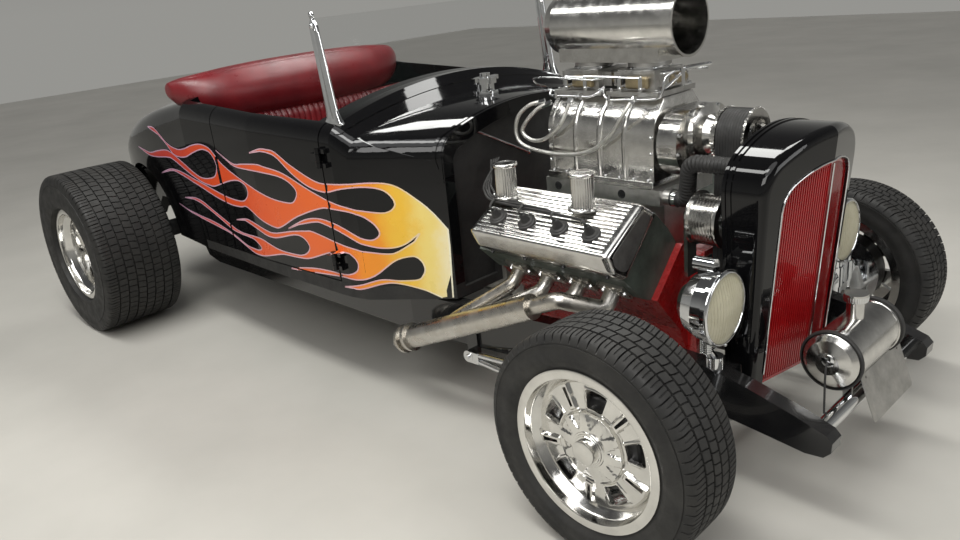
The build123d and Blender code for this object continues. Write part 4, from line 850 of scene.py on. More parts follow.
def face_relief(r, a):
    """How far the face stands out from its turned profile: spokes, window lips and the dome's facets."""
    from_spoke = (a + HALF_SECTOR) % SECTOR - HALF_SECTOR
    from_window = HALF_SECTOR - np.abs(from_spoke)
    across = np.abs(r * np.sin(np.radians(from_spoke)))
    rib = RIB_HEIGHT * (1 - smooth(0.0095, 0.0145, across)) * smooth(0.094, 0.101, r)
    rib = rib * (1 - smooth(0.160, 0.168, r))
    beside = np.maximum(np.radians(from_window - WINDOW_ANGLE) * r, 0)
    along = np.maximum(np.maximum(WINDOW_IN - r, r - WINDOW_OUT), 0)
    away = np.hypot(beside, along)
    lip = LIP_HEIGHT * (1 - smooth(0.002, 0.0065, away)) * smooth(0.0925, 0.097, r)
    share = np.clip((r - DOME_IN) / (DOME_OUT - DOME_IN), 0, 1)
    from_point = np.abs((a + HALF_SECTOR / 2) % HALF_SECTOR - HALF_SECTOR / 2)
    pocket = smooth(0.0, 0.25, share) * (1 - smooth(0.93, 1.0, share))
    pocket = pocket * (1 - smooth(0.75, 1.0, from_point / (2 + 11 * share)))
    return np.maximum(rib, lip) - POCKET_DEPTH * pocket * (0.4 + 0.6 * share)


def wheel_profile(width, face, hub_in, bore):
    """The wheel's outline as (outboard, radius), its first row past the face, and its first back row."""
    h, f = width / 2, face
    front = [(f + 0.034, 0), (f + 0.034, 0.0275), (f + 0.0325, 0.0300), (f + 0.030, 0.0310),
             (f + 0.0175, 0.0310), (f + 0.0170, 0.0350), (f + 0.0155, 0.0360), (f + 0.0150, 0.0390),
             (f + 0.0130, 0.0400), (f + 0.0125, 0.0440), (f + 0.0105, 0.0455)]
    crown = np.arange(0.0480, 0.0905, 0.0028)
    front += [(f + 0.0105 - 0.0060 * ((r - 0.048) / 0.042) ** 2, r) for r in crown]
    front += [(f + 0.0010, 0.0920), (f - 0.0045, 0.0935), (f - 0.0058, 0.0955), (f - 0.0060, 0.0980)]
    disc = [WINDOW_IN, 0.1030, SLOT_IN, 0.110, 0.116, 0.122, 0.128, 0.134, 0.140, 0.1445, WINDOW_OUT, 0.151,
            SLOT_OUT, 0.157, 0.160]
    front += [(f - 0.0058 - 0.004 * (r - 0.1) / 0.06, r) for r in disc]
    front += [(f - 0.0120, 0.1630), (f - 0.0160, 0.1652)]
    barrel = [(h - 0.047, 0.1655), (h - 0.043, 0.1690), (h - 0.030, 0.1780), (h - 0.026, 0.1815),
              (h - 0.0225, 0.1830), (h - 0.0060, 0.1835), (h - 0.0012, 0.1845), (h, 0.1865), (h, 0.2045),
              (h - 0.0010, 0.2072), (h - 0.0030, RIM_LIP), (h - 0.0050, RIM_LIP), (h - 0.0090, RIM_SEAT),
              (0.009 - h, RIM_SEAT), (0.005 - h, RIM_LIP), (-h, RIM_LIP), (-h, RIM_SEAT - RIM_WALL),
              (0.026 - h, RIM_SEAT - RIM_WALL), (f - 0.031, 0.164), (f - 0.029, 0.158)]
    back = [(f - 0.0185, r) for r in (SLOT_OUT, WINDOW_OUT, SLOT_IN, WINDOW_IN, 0.096)]
    back += [(f - 0.0165, bore + 0.022), (hub_in, bore + 0.022), (hub_in, bore), (f - 0.003, bore),
             (f - 0.003, 0)]
    return np.array(front + barrel + back), len(front), len(front) + len(barrel)


def make_wheel(which, corner, side):
    """The wheel: its outline turned round the axle, the face's relief added, its openings cut through."""
    hub, (_, _, width), face, hub_in, bore, _, _ = CORNERS[corner]
    outline, past_face, first_back = wheel_profile(width, face, hub_in, bore)
    degrees = wheel_angles()
    a = degrees[None, :]
    r = np.repeat(outline[:, 1:], len(degrees), 1)
    out = np.repeat(outline[:, :1], len(degrees), 1)
    on_face = (np.arange(len(outline)) < past_face)[:, None]
    relief = np.where(on_face & (r > RELIEF_FROM), face_relief(r, a), 0)
    from_window = (a + SECTOR) % SECTOR - HALF_SECTOR
    on_side = np.isclose(np.abs(from_window), WINDOW_ANGLE)
    at_corner = on_side & (np.isclose(r, WINDOW_IN) | np.isclose(r, WINDOW_OUT))
    inward = np.sign((WINDOW_IN + WINDOW_OUT) / 2 - r)
    r = r + np.where(at_corner, CORNER_IN * inward, 0)
    angle = np.radians(SPOKES_AT + a - np.where(at_corner, CORNER_TURN * np.sign(from_window), 0))
    points = np.stack([r * np.cos(angle), side * (out + relief), r * np.sin(angle)], -1) + hub * (1, -side, 1)
    points, faces = sheet(points, wrap_v=True)
    holes = openings(outline, degrees, past_face, first_back).ravel()
    kept = [f for f, hole in zip(faces, holes) if not hole]
    kept += walls_between(outline, degrees, past_face)
    piece(f"alloy_wheel_{corner}_{which}", [(points, kept)], f"wheel_{corner}_{which}", "wheel_alloy",
          (f"rim_{corner}_{which}",), crease=32, merge=1e-7)


def openings(outline, degrees, past_face, first_back):
    """True for the quads of the disc's two faces that lie in a window or a slot."""
    rows = np.arange(len(outline) - 1)
    on_disc = (rows < past_face) | (rows >= first_back)
    mid_r = (outline[:-1, 1] + outline[1:, 1]) / 2
    mid_a = (degrees + np.append(degrees[1:], degrees[0] + 360)) / 2
    from_window = np.abs(mid_a % SECTOR - HALF_SECTOR)
    from_slot = np.abs((mid_a + HALF_SECTOR) % SECTOR - HALF_SECTOR)
    window = (from_window < WINDOW_ANGLE)[None] & ((mid_r > WINDOW_IN) & (mid_r < WINDOW_OUT))[:, None]
    slot = (from_slot < SLOT_ANGLE)[None] & ((mid_r > SLOT_IN) & (mid_r < SLOT_OUT))[:, None]
    return (window | slot) & on_disc[:, None]


def make_drum(which, corner, side):
    """The brake drum behind the wheel's face, grooved at its edge."""
    hub, _, face, _, bore, drum_r, drum_in = CORNERS[corner]
    edge = face - 0.030
    profile = [(drum_in, 0), (drum_in, drum_r - 0.014), (drum_in, drum_r), (edge, drum_r)]
    profile += [(edge + 0.0015 * k, drum_r - 0.002 * (k % 2)) for k in range(4)]
    profile += [(face - 0.0225, drum_r - 0.004), (face - 0.0195, drum_r - 0.012),
                (face - 0.0195, bore + 0.021)]
    drum = turned(profile, hub * (1, -side, 1), (0, side, 0), 64)
    piece(f"alloy_drum_{corner}_{which}", [drum], f"wheel_{corner}_{which}", "dark_steel")


def walls_between(outline, degrees, past_face):
    """Faces joining the front and the back of the disc round each window and slot."""
    columns, rows = len(degrees), np.arange(len(outline))
    holes = [(WINDOW_IN, WINDOW_OUT, WINDOW_ANGLE, HALF_SECTOR + SECTOR * k) for k in range(SPOKES)]
    holes += [(SLOT_IN, SLOT_OUT, SLOT_ANGLE, SECTOR * k) for k in range(SPOKES)]

    def row_at(r, is_front):
        """The outline's first row at a radius, on the front or the back."""
        near = np.isclose(outline[:, 1], r) & ((rows < past_face) == is_front)
        return int(rows[near][0])
    made = []
    for r_in, r_out, half, middle in holes:
        from_middle = (degrees - middle + 180) % 360 - 180
        across = [int(i) for i in np.argsort(from_middle) if abs(from_middle[i]) <= half + 1e-6]
        for r in (r_in, r_out):
            f, b = row_at(r, True) * columns, row_at(r, False) * columns
            made += [[f + i, f + j, b + j, b + i] for i, j in zip(across, across[1:])]
        front_rows = list(range(row_at(r_in, True), row_at(r_out, True) + 1))
        back_rows = list(range(row_at(r_out, False), row_at(r_in, False) + 1))
        for i in (across[0], across[-1]):
            made.append([q * columns + i for q in front_rows + back_rows])
    return made


# Tread: the grooves' places to either side of the middle, and how many pitches go round.
GROOVES = {"front": (0.015, 0.046), "rear": (0.0, 0.038, 0.078, 0.118)}
PITCHES = {"front": 70, "rear": 74}
TREAD_DEPTH, HALF_GROOVE, CROWN = 0.0075, 0.0032, 0.0016
FLAT_ON_FLOOR = 0.0002


def tread_rows(corner, shoulder, radius):
    """The tread from shoulder to shoulder: ribs on a low crown, with a groove's walls and floor between."""
    stops = sorted({s * g for g in GROOVES[corner] for s in (-1, 1)})
    edges = [-shoulder] + [e for g in stops for e in (g - HALF_GROOVE, g + HALF_GROOVE)] + [shoulder]
    ribs = list(zip(edges[0::2], edges[1::2]))

    def crowned(o):
        """The tread's radius, falling with the square of the distance from the middle."""
        return radius - CROWN * (o / shoulder) ** 2
    made = []
    for k, (low, high) in enumerate(ribs):
        rib = 1 if k in (0, len(ribs) - 1) else 2 + k % 2
        if k:
            made += [(low - 0.0010, crowned(low) - TREAD_DEPTH, -1), (low, crowned(low), rib)]
        for share in (0.33, 0.67) if high - low > 0.012 else ():
            o = low + share * (high - low)
            made.append((o, crowned(o), rib))
        if k < len(ribs) - 1:
            made += [(high, crowned(high), rib), (high + 0.0010, crowned(high) - TREAD_DEPTH, -1)]
    return made


def tyre_rows(corner):
    """The tyre's outline: (outboard, radius, rib), with rib 0 plain, -1 a groove, 1 to 3 by its slots."""
    _, (radius, width, rim_width) = CORNERS[corner][:2]
    h = width / 2
    bead, flange, lip = rim_width / 2 - 0.0093, rim_width / 2 - 0.0053, RIM_SEAT + 0.0003
    tall = radius - lip
    shoulder = h - 0.020
    ridge = lip + 0.72 * tall
    wall = [(bead, lip), (flange, RIM_LIP + 0.001), (flange + 0.0015, RIM_LIP + 0.004), (h - 0.0055, 0.218),
            (h - 0.0025, 0.226), (h - 0.0006, lip + 0.36 * tall), (h, lip + 0.46 * tall),
            (h - 0.0003, lip + 0.56 * tall), (h - 0.0022, lip + 0.685 * tall), (h - 0.0008, ridge),
            (h - 0.0008, ridge + 0.0025), (h - 0.0030, ridge + 0.0030), (h - 0.0030, ridge + 0.0055),
            (h - 0.0020, ridge + 0.0060), (h - 0.0022, ridge + 0.0085)]
    blocks = [(h - 0.0055, radius - 0.0150), (h - 0.0085, radius - 0.0085), (h - 0.0130, radius - 0.0042),
              (shoulder, radius - 0.0018)]
    hollow = [(0.010 - bead, lip + 0.020), (0.030 - h, lip + 0.5 * tall), (0.034 - h, radius - 0.016),
              (h - 0.034, radius - 0.016), (h - 0.030, lip + 0.5 * tall), (bead - 0.010, lip + 0.020)]
    half = [(o, r, 0) for o, r in wall] + [(o, r, 1) for o, r in blocks]
    mirror = [(-o, r, rib) for o, r, rib in reversed(half)]
    tread = tread_rows(corner, shoulder, radius)[::-1]
    return np.array(half + tread + mirror + [(o, r, 0) for o, r in hollow])


def make_tyre(which, corner, side):
    """The outline turned round the axle; slots drop the ribs in turn, half a pitch apart, and lean."""
    hub, (radius, width, _) = CORNERS[corner][:2]
    rows, pitches = tyre_rows(corner), PITCHES[corner]
    within = np.array([0, 0.10, 0.13, 0.31, 0.47, 0.50, 0.60, 0.63, 0.81, 0.97])
    share = (np.arange(pitches)[:, None] + within[None]).ravel() / pitches
    phase = np.tile(within, pitches)
    first = (phase < 0.11)[None]
    second = ((phase > 0.49) & (phase < 0.61))[None]
    out, r, rib = rows[:, :1], rows[:, 1:2], rows[:, 2:3]
    on_block = (rib == 1) & (np.abs(out) < width / 2 - 0.019)
    drop = np.where(rib == 1, first * TREAD_DEPTH, 0) + np.where(rib == 2, second * TREAD_DEPTH * 0.8, 0)
    drop = drop + np.where(rib == 3, first * TREAD_DEPTH * 0.8, 0)
    drop = drop + np.where(on_block, second * TREAD_DEPTH * 0.35, 0)
    lean = 0.030 * np.tanh(np.abs(out) / (width * 0.30)) + 0.012 * np.sin(out / width * 9)
    angle = 2 * np.pi * share[None] + lean
    reach = r - drop * (0.35 + 0.65 * smooth(radius - 0.02, radius - 0.006, r))
    axes = [reach * np.cos(angle), side * np.repeat(out, len(share), 1), reach * np.sin(angle)]
    points = np.stack(axes, -1) + hub * (1, -side, 1)
    points[..., 2] = np.maximum(points[..., 2], FLAT_ON_FLOOR)
    piece(f"treaded_tyre_{corner}_{which}", [sheet(points, True, True)], f"wheel_{corner}_{which}",
          "tyre_black", (f"tyre_{corner}_{which}",), crease=40, merge=1e-8)


for which, side in SIDES.items():
    for corner in CORNERS:
        make_wheel(which, corner, side)
        make_drum(which, corner, side)
        make_tyre(which, corner, side)


# The engine. u runs along a cylinder bank from the crank and v outboard across it, both at 45 degrees.
CRANK_Z = 0.340
HALF_ROOT = math.sqrt(0.5)
COVER_FRONT, COVER_REAR = at(0.140), at(0.640)
COVER_PROFILE = [(0.4283, -0.100), (0.505, -0.086), (0.555, 0.104), (0.496, 0.125), (0.4283, 0.108)]
COVER_TOP_LEAN = (0.2546, 0.9670)     # along the cover's top face, in (u, v)
BOOT_BACKS = (0.2255, 0.3345, 0.4525, 0.5635)
BREATHER_BACKS = (0.302, 0.587)
FIN_HEIGHT, FIN_PITCH = 0.0017, 0.0135
PLATE_DEPTH, LEAD_RADIUS = 0.0012, 0.0038


def on_bank(x, u, v, side):
    """A point, or a row of them, at (u, v) on one bank: y is side*(u + v)/root 2 and z is (u - v)/root 2."""
    return np.stack(np.broadcast_arrays(x, side * (u + v) * HALF_ROOT, CRANK_Z + (u - v) * HALF_ROOT), -1)


def cover_top(x, v, side):
    """A point on the rocker cover's top face, and the way out of it."""
    (corner_u, corner_v), along = COVER_PROFILE[1], COVER_TOP_LEAN
    u = corner_u + (v - corner_v) * along[0] / along[1]
    way = np.array([0, side * (along[1] - along[0]) * HALF_ROOT, (along[1] + along[0]) * HALF_ROOT])
    return on_bank(x, u, v, side), way


def cover_outline():
    """The cover's end view, its corners rounded and its top face raised in low round fins."""
    loop = eased_loop(COVER_PROFILE, 0.012, 5)
    closed = np.vstack([loop, loop[:1]])
    dense = spaced(closed, np.linspace(0, distances(closed)[-1], 300, endpoint=False))
    from_corner = dense - COVER_PROFILE[1]
    along = from_corner @ COVER_TOP_LEAN
    off = from_corner @ (COVER_TOP_LEAN[1], -COVER_TOP_LEAN[0])
    on_top = (np.abs(off) < 0.0015) & (along > 0.014) & (along < 0.180)
    fin = FIN_HEIGHT * np.maximum(np.cos(2 * np.pi * (along - 0.016) / FIN_PITCH), 0) ** 0.7
    return dense, np.where(on_top, fin, 0)


def make_rocker_cover(side, which):
    """The end view carried along the bank: its ends step in round an edge, and the fins fade before them."""
    outline, fin = cover_outline()
    length = COVER_FRONT - COVER_REAR
    steps = [(0, 0.018), (0.0, 0.0125), (0.0015, 0.0085), (0.005, 0.0045), (0.011, 0.0012), (0.018, 0),
             (0.024, 0), (0.030, 0)]
    rings = []
    for d, gap in steps + [(length - d, gap) for d, gap in reversed(steps)]:
        ring = inset(outline, gap) if gap else outline
        tall = fin * smooth(0.019, 0.029, min(d, length - d))
        u = ring[:, 0] + tall * COVER_TOP_LEAN[1]
        v = ring[:, 1] - tall * COVER_TOP_LEAN[0]
        rings.append(on_bank(COVER_REAR + d, u, v, side))
    piece(f"rocker_cover_{which}", [capped(np.stack(rings))], "chassis", "polished_alloy",
          ("rocker_covers",), crease=40)
    flat = eased_loop(inset(np.array(COVER_PROFILE), 0.0185), 0.022, 6)
    upward, outward = (0, side * HALF_ROOT, HALF_ROOT), (0, side * HALF_ROOT, -HALF_ROOT)
    plates = []
    for x in (COVER_FRONT - 0.0002, COVER_REAR - 0.0010):
        plates.append(prism(flat, on_bank(x, 0, 0, side), upward, outward, -side * PLATE_DEPTH, 0.0003))
    piece(f"cover_end_plates_{which}", plates, "chassis", "dark_casting")
    down_and_out = (0, side * (0.97 - 0.24) * HALF_ROOT, -(0.97 + 0.24) * HALF_ROOT)
    screws = []
    for back in (0.18, 0.33, 0.47, 0.60):
        screws += bolt(on_bank(at(back), 0.462, 0.1172, side), down_and_out, 0.0055, 0.007)
    piece(f"cover_bolts_{which}", screws, "chassis", "dark_steel")


def make_breathers(side, which):
    """Fluted chimneys with wide flat caps: radius r + a cosine of the angle on the body."""
    foot_ring = [(0, 0), (0, 0.043), (0.005, 0.043), (0.007, 0.041), (0.007, 0)]
    cap = [(0.090, 0), (0.090, 0.032), (0.0915, 0.0365), (0.095, 0.0385), (0.0985, 0.0385), (0.1015, 0.0368),
           (0.1025, 0.033), (0.1010, 0.0285), (0.1005, 0)]
    heights, deep = [0.004, 0.008, 0.010, 0.086, 0.090, 0.094], [0, 0, 1, 1, 0, 0]
    shells, screws = [], []
    for back in BREATHER_BACKS:
        foot = on_bank(at(back), 0.522, -0.036, side)
        shells.append(turned(foot_ring, foot - (0, 0, 0.001), (0, 0, 1), 40))
        shells.append(fluted(foot, heights, deep, 0.0305, 0.0010, 28, 144))
        shells.append(turned(cap, foot, (0, 0, 1), 56))
        for angle in (0.6, 2.2, 3.7, 5.3):
            place = foot + (0.0375 * math.cos(angle), 0.0375 * math.sin(angle), 0.006)
            screws += bolt(place, (0, 0, 1), 0.0032, 0.004)
    piece(f"breathers_{which}", shells, "chassis", "polished_alloy", crease=50)
    piece(f"breather_bolts_{which}", screws, "chassis", "bright_chrome")


def make_plug_leads(side, which):
    """Rubber boots on the cover's top face, each with its lead running back over the cover."""
    boot = [(-0.001, 0), (-0.001, 0.026), (0.002, 0.0272), (0.005, 0.0262), (0.0065, 0.0215),
            (0.0085, 0.0205), (0.0110, 0.0145), (0.0200, 0.0115), (0.0310, 0.0095), (0.0340, 0.0080),
            (0.0345, 0)]
    boots, leads = [], []
    for k, back in enumerate(BOOT_BACKS):
        spot, way = cover_top(at(back), 0.042, side)
        boots.append(turned(boot, spot, way, 40))
        path = [spot + way * 0.028, spot + way * 0.046 + (-0.006, 0, 0)]
        for j, later in enumerate(np.arange(back + 0.055, 0.64, 0.11)):
            over, _ = cover_top(at(later), 0.012 - 0.011 * k - 0.004 * j, side)
            path.append(over + way * (0.016 + 0.003 * (j % 2)))
        over, _ = cover_top(at(0.655), -0.020 - 0.010 * k, side)
        path += [over + way * 0.022, over + (-0.06, -side * 0.05, 0.03 - 0.006 * k),
                 (at(0.770), side * (0.18 + 0.012 * k), 0.800)]
        leads.append(tube(through(path, 8), LEAD_RADIUS, 10))
    piece(f"plug_boots_{which}", boots, "chassis", "hose_rubber")
    piece(f"plug_leads_{which}", leads, "chassis", "hose_rubber", crease=60)


# The blower, its drive and its hoses.
CASE_REAR, CASE_FRONT = at(0.600), at(0.217)
CASE_BASE, CASE_FOOT, FLANGE_TOP = 0.7453, 0.7655, 0.767
HOOP_MIDDLES, HOOP_HALF, HOOP_RISE = (0.104, 0.192, 0.280), 0.0105, 0.0068
DRIVE_X, TOP_PULLEY_Z = at(0.065), 0.884
IDLER_Y, IDLER_Z = -0.1525, 0.690


def case_outline():
    """The blower case's end view: straight sides, wide round shoulders, flat top."""
    shoulder = through([(0.125, 0.868), (0.1195, 0.915), (0.103, 0.948), (0.070, 0.985)], 6)
    right = np.vstack([[(0.125, 0.767), (0.125, 0.80), (0.125, 0.83)], shoulder])
    return np.vstack([right, right[::-1] * (-1, 1)])


def make_blower_case():
    """The end view carried along the car and grown at its end plates and three round hoops."""
    outline = case_outline()
    spans = [(0, 0.002), (0.001, 0.004), (0.016, 0.004), (0.018, 0)]
    for middle in HOOP_MIDDLES:
        for d in (-HOOP_HALF, -0.009, -0.0065, -0.0035, 0, 0.0035, 0.0065, 0.009, HOOP_HALF):
            spans.append((middle + d, HOOP_RISE * (1 - (d / HOOP_HALF) ** 2)))
    spans += [(0.365, 0), (0.367, 0.006), (0.3815, 0.006), (0.383, 0.0035)]
    rings = []
    for d, grow in spans:
        ring = inset(outline, -grow)
        ring[:, 1] = np.maximum(ring[:, 1], CASE_FOOT)
        rings.append(np.column_stack([np.full(len(ring), CASE_REAR + d), ring]))
    flange = block((CASE_REAR, -0.140, CASE_BASE), (CASE_FRONT, 0.140, FLANGE_TOP), 0.002)
    piece("blower_shell", [capped(np.stack(rings)), flange], "chassis", "polished_alloy",
          ("blower_case",), crease=32)


def make_blower_bolts():
    """Bolts along the case's flange, up its end plates and round the drive's face."""
    screws = []
    for s in (-1, 1):
        for x in np.linspace(CASE_REAR + 0.02, CASE_FRONT - 0.02, 8):
            screws += bolt((x, s * 0.1335, FLANGE_TOP), (0, 0, 1), 0.0045, 0.006)
        for x in (CASE_REAR + 0.009, CASE_FRONT - 0.009):
            for z in (0.80, 0.845, 0.89):
                screws += bolt((x, s * 0.1305, z), (0, s, 0), 0.0042, 0.005)
    face = at(0.2007) + 0.062
    for y, z in ((-0.125, 0.90), (-0.13, 0.85), (-0.10, 0.795), (0, 0.786), (0.10, 0.795), (0.13, 0.85),
                 (0.125, 0.90), (-0.07, 0.951), (0.07, 0.951)):
        screws += bolt((face, y, z), (1, 0, 0), 0.0055, 0.006)
    piece("blower_bolts", screws, "chassis", "bright_chrome")


def make_adapter_wells():
    """Shallow ringed wells along the adapter's sides."""
    ring = [(0, 0.0095), (0.0016, 0.0098), (0.0018, 0.0125), (0.0004, 0.0132), (0, 0.0132)]
    wells = []
    for s in (-1, 1):
        for x in (0.831, 0.95, 1.068):
            spot = (x, s * 0.1395, 0.722)
            wells.append(turned(ring, spot, (0, s, 0), 28))
            wells.append(turned([(0.0006, 0), (0.0006, 0.0094)], spot, (0, s, 0), 24))
    piece("adapter_wells", wells, "chassis", "dark_steel")


def make_drive_dress():
    """Teeth behind and before the top pulley's flanges, grooves on the idler, and hub caps on the pulleys."""
    teeth, plates = [], []
    middle = (0, 0, TOP_PULLEY_Z)
    rear = DRIVE_X - 0.004
    tooth = block((rear - 0.013, -0.0030, 0.0655), (rear - 0.0005, 0.0030, 0.0735), 0.0008)
    teeth += ring_of(moved(tooth, middle), middle, (1, 0, 0), 40)
    drum = [(0, 0), (0, 0.067), (0.013, 0.067), (0.013, 0)]
    teeth.append(turned(drum, (rear - 0.0132, 0, TOP_PULLEY_Z), (1, 0, 0), 60))
    for spot, r in (((DRIVE_X + 0.046, 0, TOP_PULLEY_Z), 0.034), ((DRIVE_X + 0.046, 0, CRANK_Z), 0.042),
                    ((DRIVE_X + 0.056, IDLER_Y, IDLER_Z), 0.026)):
        cap = [(0, 0), (0, r), (0.006, r), (0.009, r * 0.8), (0.010, r * 0.45), (0.016, r * 0.4), (0.016, 0)]
        plates.append(turned(cap, spot, (1, 0, 0), 36))
        first = np.array([[spot[0] + 0.0085, spot[1], spot[2] + r * 0.62]])
        for (place,), _ in ring_of((first, []), spot, (1, 0, 0), 6):
            plates += bolt(place, (1, 0, 0), 0.0035, 0.004)
    for edge_x in (DRIVE_X - 0.0035, DRIVE_X + 0.0790):
        rim = block((edge_x - 0.001, -0.0026, 0.0745), (edge_x + 0.0035, 0.0026, 0.0785), 0.0006)
        teeth += ring_of(moved(rim, middle), middle, (1, 0, 0), 44)
    groove = [(-0.0016, 0.0655), (-0.0010, 0.0675), (0.0010, 0.0675), (0.0016, 0.0655)]
    for k in range(7):
        teeth.append(turned(groove, (DRIVE_X + 0.012 + 0.009 * k, IDLER_Y, IDLER_Z), (1, 0, 0), 64))
    piece("pulley_teeth", teeth, "chassis", "polished_alloy")
    piece("pulley_hubs", plates, "chassis", "bright_chrome")


def make_belt_ribs():
    """Fine lengthwise ribs on the belt's back: thin loops that follow its two pulleys and straight runs."""
    top, low, lift = 0.068 + 0.006, 0.085 + 0.006, 0.0003
    lean = math.asin((low - top) / (TOP_PULLEY_Z - CRANK_Z))
    loop = []
    for sign, z, radius in ((1, TOP_PULLEY_Z, top + lift), (-1, CRANK_Z, low + lift)):
        for a in np.radians(np.arange(0, 181, 9)):
            angle = a * (1 - sign * 2 * lean / math.pi) + sign * lean
            loop.append((sign * math.cos(angle) * radius, z + sign * math.sin(angle) * radius))
    ribs = []
    middle = DRIVE_X + 0.002 + 0.038
    for k in range(-4, 5):
        path = np.array([(middle + 0.008 * k, y, z) for y, z in loop + loop[:1]])
        ribs.append(tube(path, 0.0011, 6))
    piece("belt_ribs", ribs, "chassis", "hose_rubber", crease=60)


def make_coolant_hose():
    """The radiator hose: a tube whose radius ripples along its length."""
    path = eased([(at(0.1713), -0.112, 0.722), (at(0.126), -0.112, 0.722), (at(0.094), -0.150, 0.838),
                  (at(-0.0672), -0.150, 0.838)], 0.035, 10)
    spots = np.linspace(0, distances(path)[-1], 150)
    line = spaced(path, spots)
    radius = 0.0222 + 0.0014 * np.cos(2 * np.pi * spots / 0.0105)
    clamp = [(-0.006, 0.0235), (-0.006, 0.0246), (0.006, 0.0246), (0.006, 0.0235)]
    clamps = [turned(clamp, line[k], line[k + 1] - line[k - 1], 40) for k in (6, -8)]
    piece("ribbed_hose", [tube(line, radius, 28)], "chassis", "hose_rubber",
          ("coolant_hose",), crease=70)
    piece("hose_clamps", clamps, "chassis", "bright_chrome")


BRAIDED_ROUTES = [
    [(0.776, -0.120, 0.975), (0.735, -0.140, 0.965), (0.694, -0.152, 0.930), (0.683, -0.155, 0.878),
     (0.712, -0.156, 0.842), (0.808, -0.157, 0.826), (0.909, -0.157, 0.829), (0.987, -0.156, 0.850),
     (1.050, -0.152, 0.899), (1.086, -0.145, 0.952), (1.105, -0.118, 0.994)],
    [(0.800, -0.118, 0.972), (0.765, -0.136, 0.955), (0.728, -0.148, 0.920), (0.706, -0.150, 0.884),
     (0.743, -0.152, 0.860), (0.800, -0.152, 0.868), (0.859, -0.146, 0.916), (0.881, -0.118, 0.986)],
]
PIPE_ROUTES = [
    [(0.795, -0.105, 1.004), (0.815, -0.128, 0.995), (0.890, -0.130, 0.996), (0.958, -0.130, 0.996),
     (0.984, -0.122, 1.006), (0.990, -0.100, 1.020)],
    [(0.990, -0.100, 1.020), (1.005, -0.122, 1.004), (1.030, -0.130, 0.990), (1.087, -0.130, 0.992),
     (1.180, -0.130, 0.996), (1.203, -0.128, 1.012), (1.209, -0.120, 1.050), (1.222, -0.096, 1.066)],
    [(0.735, -0.060, 1.010), (0.726, -0.092, 1.022), (0.731, -0.104, 1.040), (0.814, -0.106, 1.044),
     (0.944, -0.106, 1.040), (1.006, -0.100, 1.048)],
    [(0.735, 0.060, 1.010), (0.726, 0.092, 1.022), (0.731, 0.104, 1.040), (0.944, 0.106, 1.040),
     (1.206, 0.100, 1.048)],
]


def make_fuel_lines():
    """Steel-braided hoses hanging beside the blower, with six-sided ends, and thin chrome pipes."""
    end_nut = [(-0.004, 0), (-0.004, 0.0088), (0.014, 0.0088), (0.017, 0.0070), (0.030, 0.0070), (0.030, 0)]
    pipe_nut = [(0, 0), (0, 0.0062), (0.016, 0.0062), (0.016, 0)]
    hoses = [tube(through(route, 12), 0.0062, 14) for route in BRAIDED_ROUTES]
    nuts = []
    for route in BRAIDED_ROUTES:
        for end, near in ((route[0], route[1]), (route[-1], route[-2])):
            nuts.append(turned(end_nut, end, unit(np.subtract(near, end)), 6))
    piece("braided_hoses", hoses, "chassis", "braided_steel", crease=60)
    pipes = [tube(through(route, 10), 0.0034, 10) for route in PIPE_ROUTES]
    for x in (0.835, 0.93, 1.03, 1.12):
        nuts.append(turned(pipe_nut, (x, -0.130, 0.988), (0, 0, 1), 6))
    piece("fuel_pipes", pipes, "chassis", "bright_chrome", crease=60)
    piece("hose_fittings", nuts, "chassis", "bright_chrome")


CARB_BACKS = (0.505, 0.312)
CARB_BASE = 0.985


def make_carburettor_dress():
    """Bowl ends with screws, choke housings, and each carburettor's cross shafts, levers and neck ring."""
    cast, bright, dark = [], [], []
    choke = [(0, 0), (0, 0.013), (0.012, 0.012), (0.016, 0.006), (0.016, 0)]
    neck = [(0.078, 0.062), (0.080, 0.0645), (0.084, 0.0645), (0.086, 0.062)]
    for x in (at(back) for back in CARB_BACKS):
        for s in (-1, 1):
            end, side_y = x + s * 0.0925, s * 0.074
            cast.append(block((end - 0.010, -0.040, CARB_BASE + 0.036),
                              (end + 0.010, 0.040, CARB_BASE + 0.066), 0.005))
            for y in (-0.03, 0.03):
                for z in (0.041, 0.060):
                    bright += bolt((x + s * 0.1020, y, CARB_BASE + z), (s, 0, 0), 0.0032, 0.004)
            cast.append(block((x - 0.030, side_y - 0.010, CARB_BASE + 0.028),
                              (x + 0.045, side_y + 0.008, CARB_BASE + 0.062), 0.005))
            dark.append(turned(choke, (x - 0.048, s * 0.070, CARB_BASE + 0.050), (0, s, 0), 24))
            for dx in (-0.076, 0.076):
                bright += bolt((x + dx, s * 0.085, CARB_BASE + 0.022), (0, 0, 1), 0.0050, 0.006)
        for dx in (-0.035, 0.035):
            shaft_z = CARB_BASE + 0.031
            bright.append(bar((x + dx, -0.105, shaft_z), (x + dx, 0.105, shaft_z), 0.0040, 12))
            lever, pin = rectangle(0.006, 0.022, 0.0055), (x + dx, -0.100, CARB_BASE + 0.045)
            bright.append(prism(lever, pin, (1, 0, 0), (0, 0, 1), 0.003, 0.0005))
        bright.append(turned(neck, (x, 0, CARB_BASE), (0, 0, 1), 48))
        rod_z = CARB_BASE + 0.062
        bright.append(bar((x - 0.035, -0.1035, rod_z), (x + 0.035, -0.1035, rod_z), 0.0028, 10))
    piece("carburettor_bowls", cast, "chassis", "gold_casting")
    piece("carburettor_chokes", dark, "chassis", "hose_rubber")
    piece("throttle_linkage", bright + throttle_rods(), "chassis", "bright_chrome")


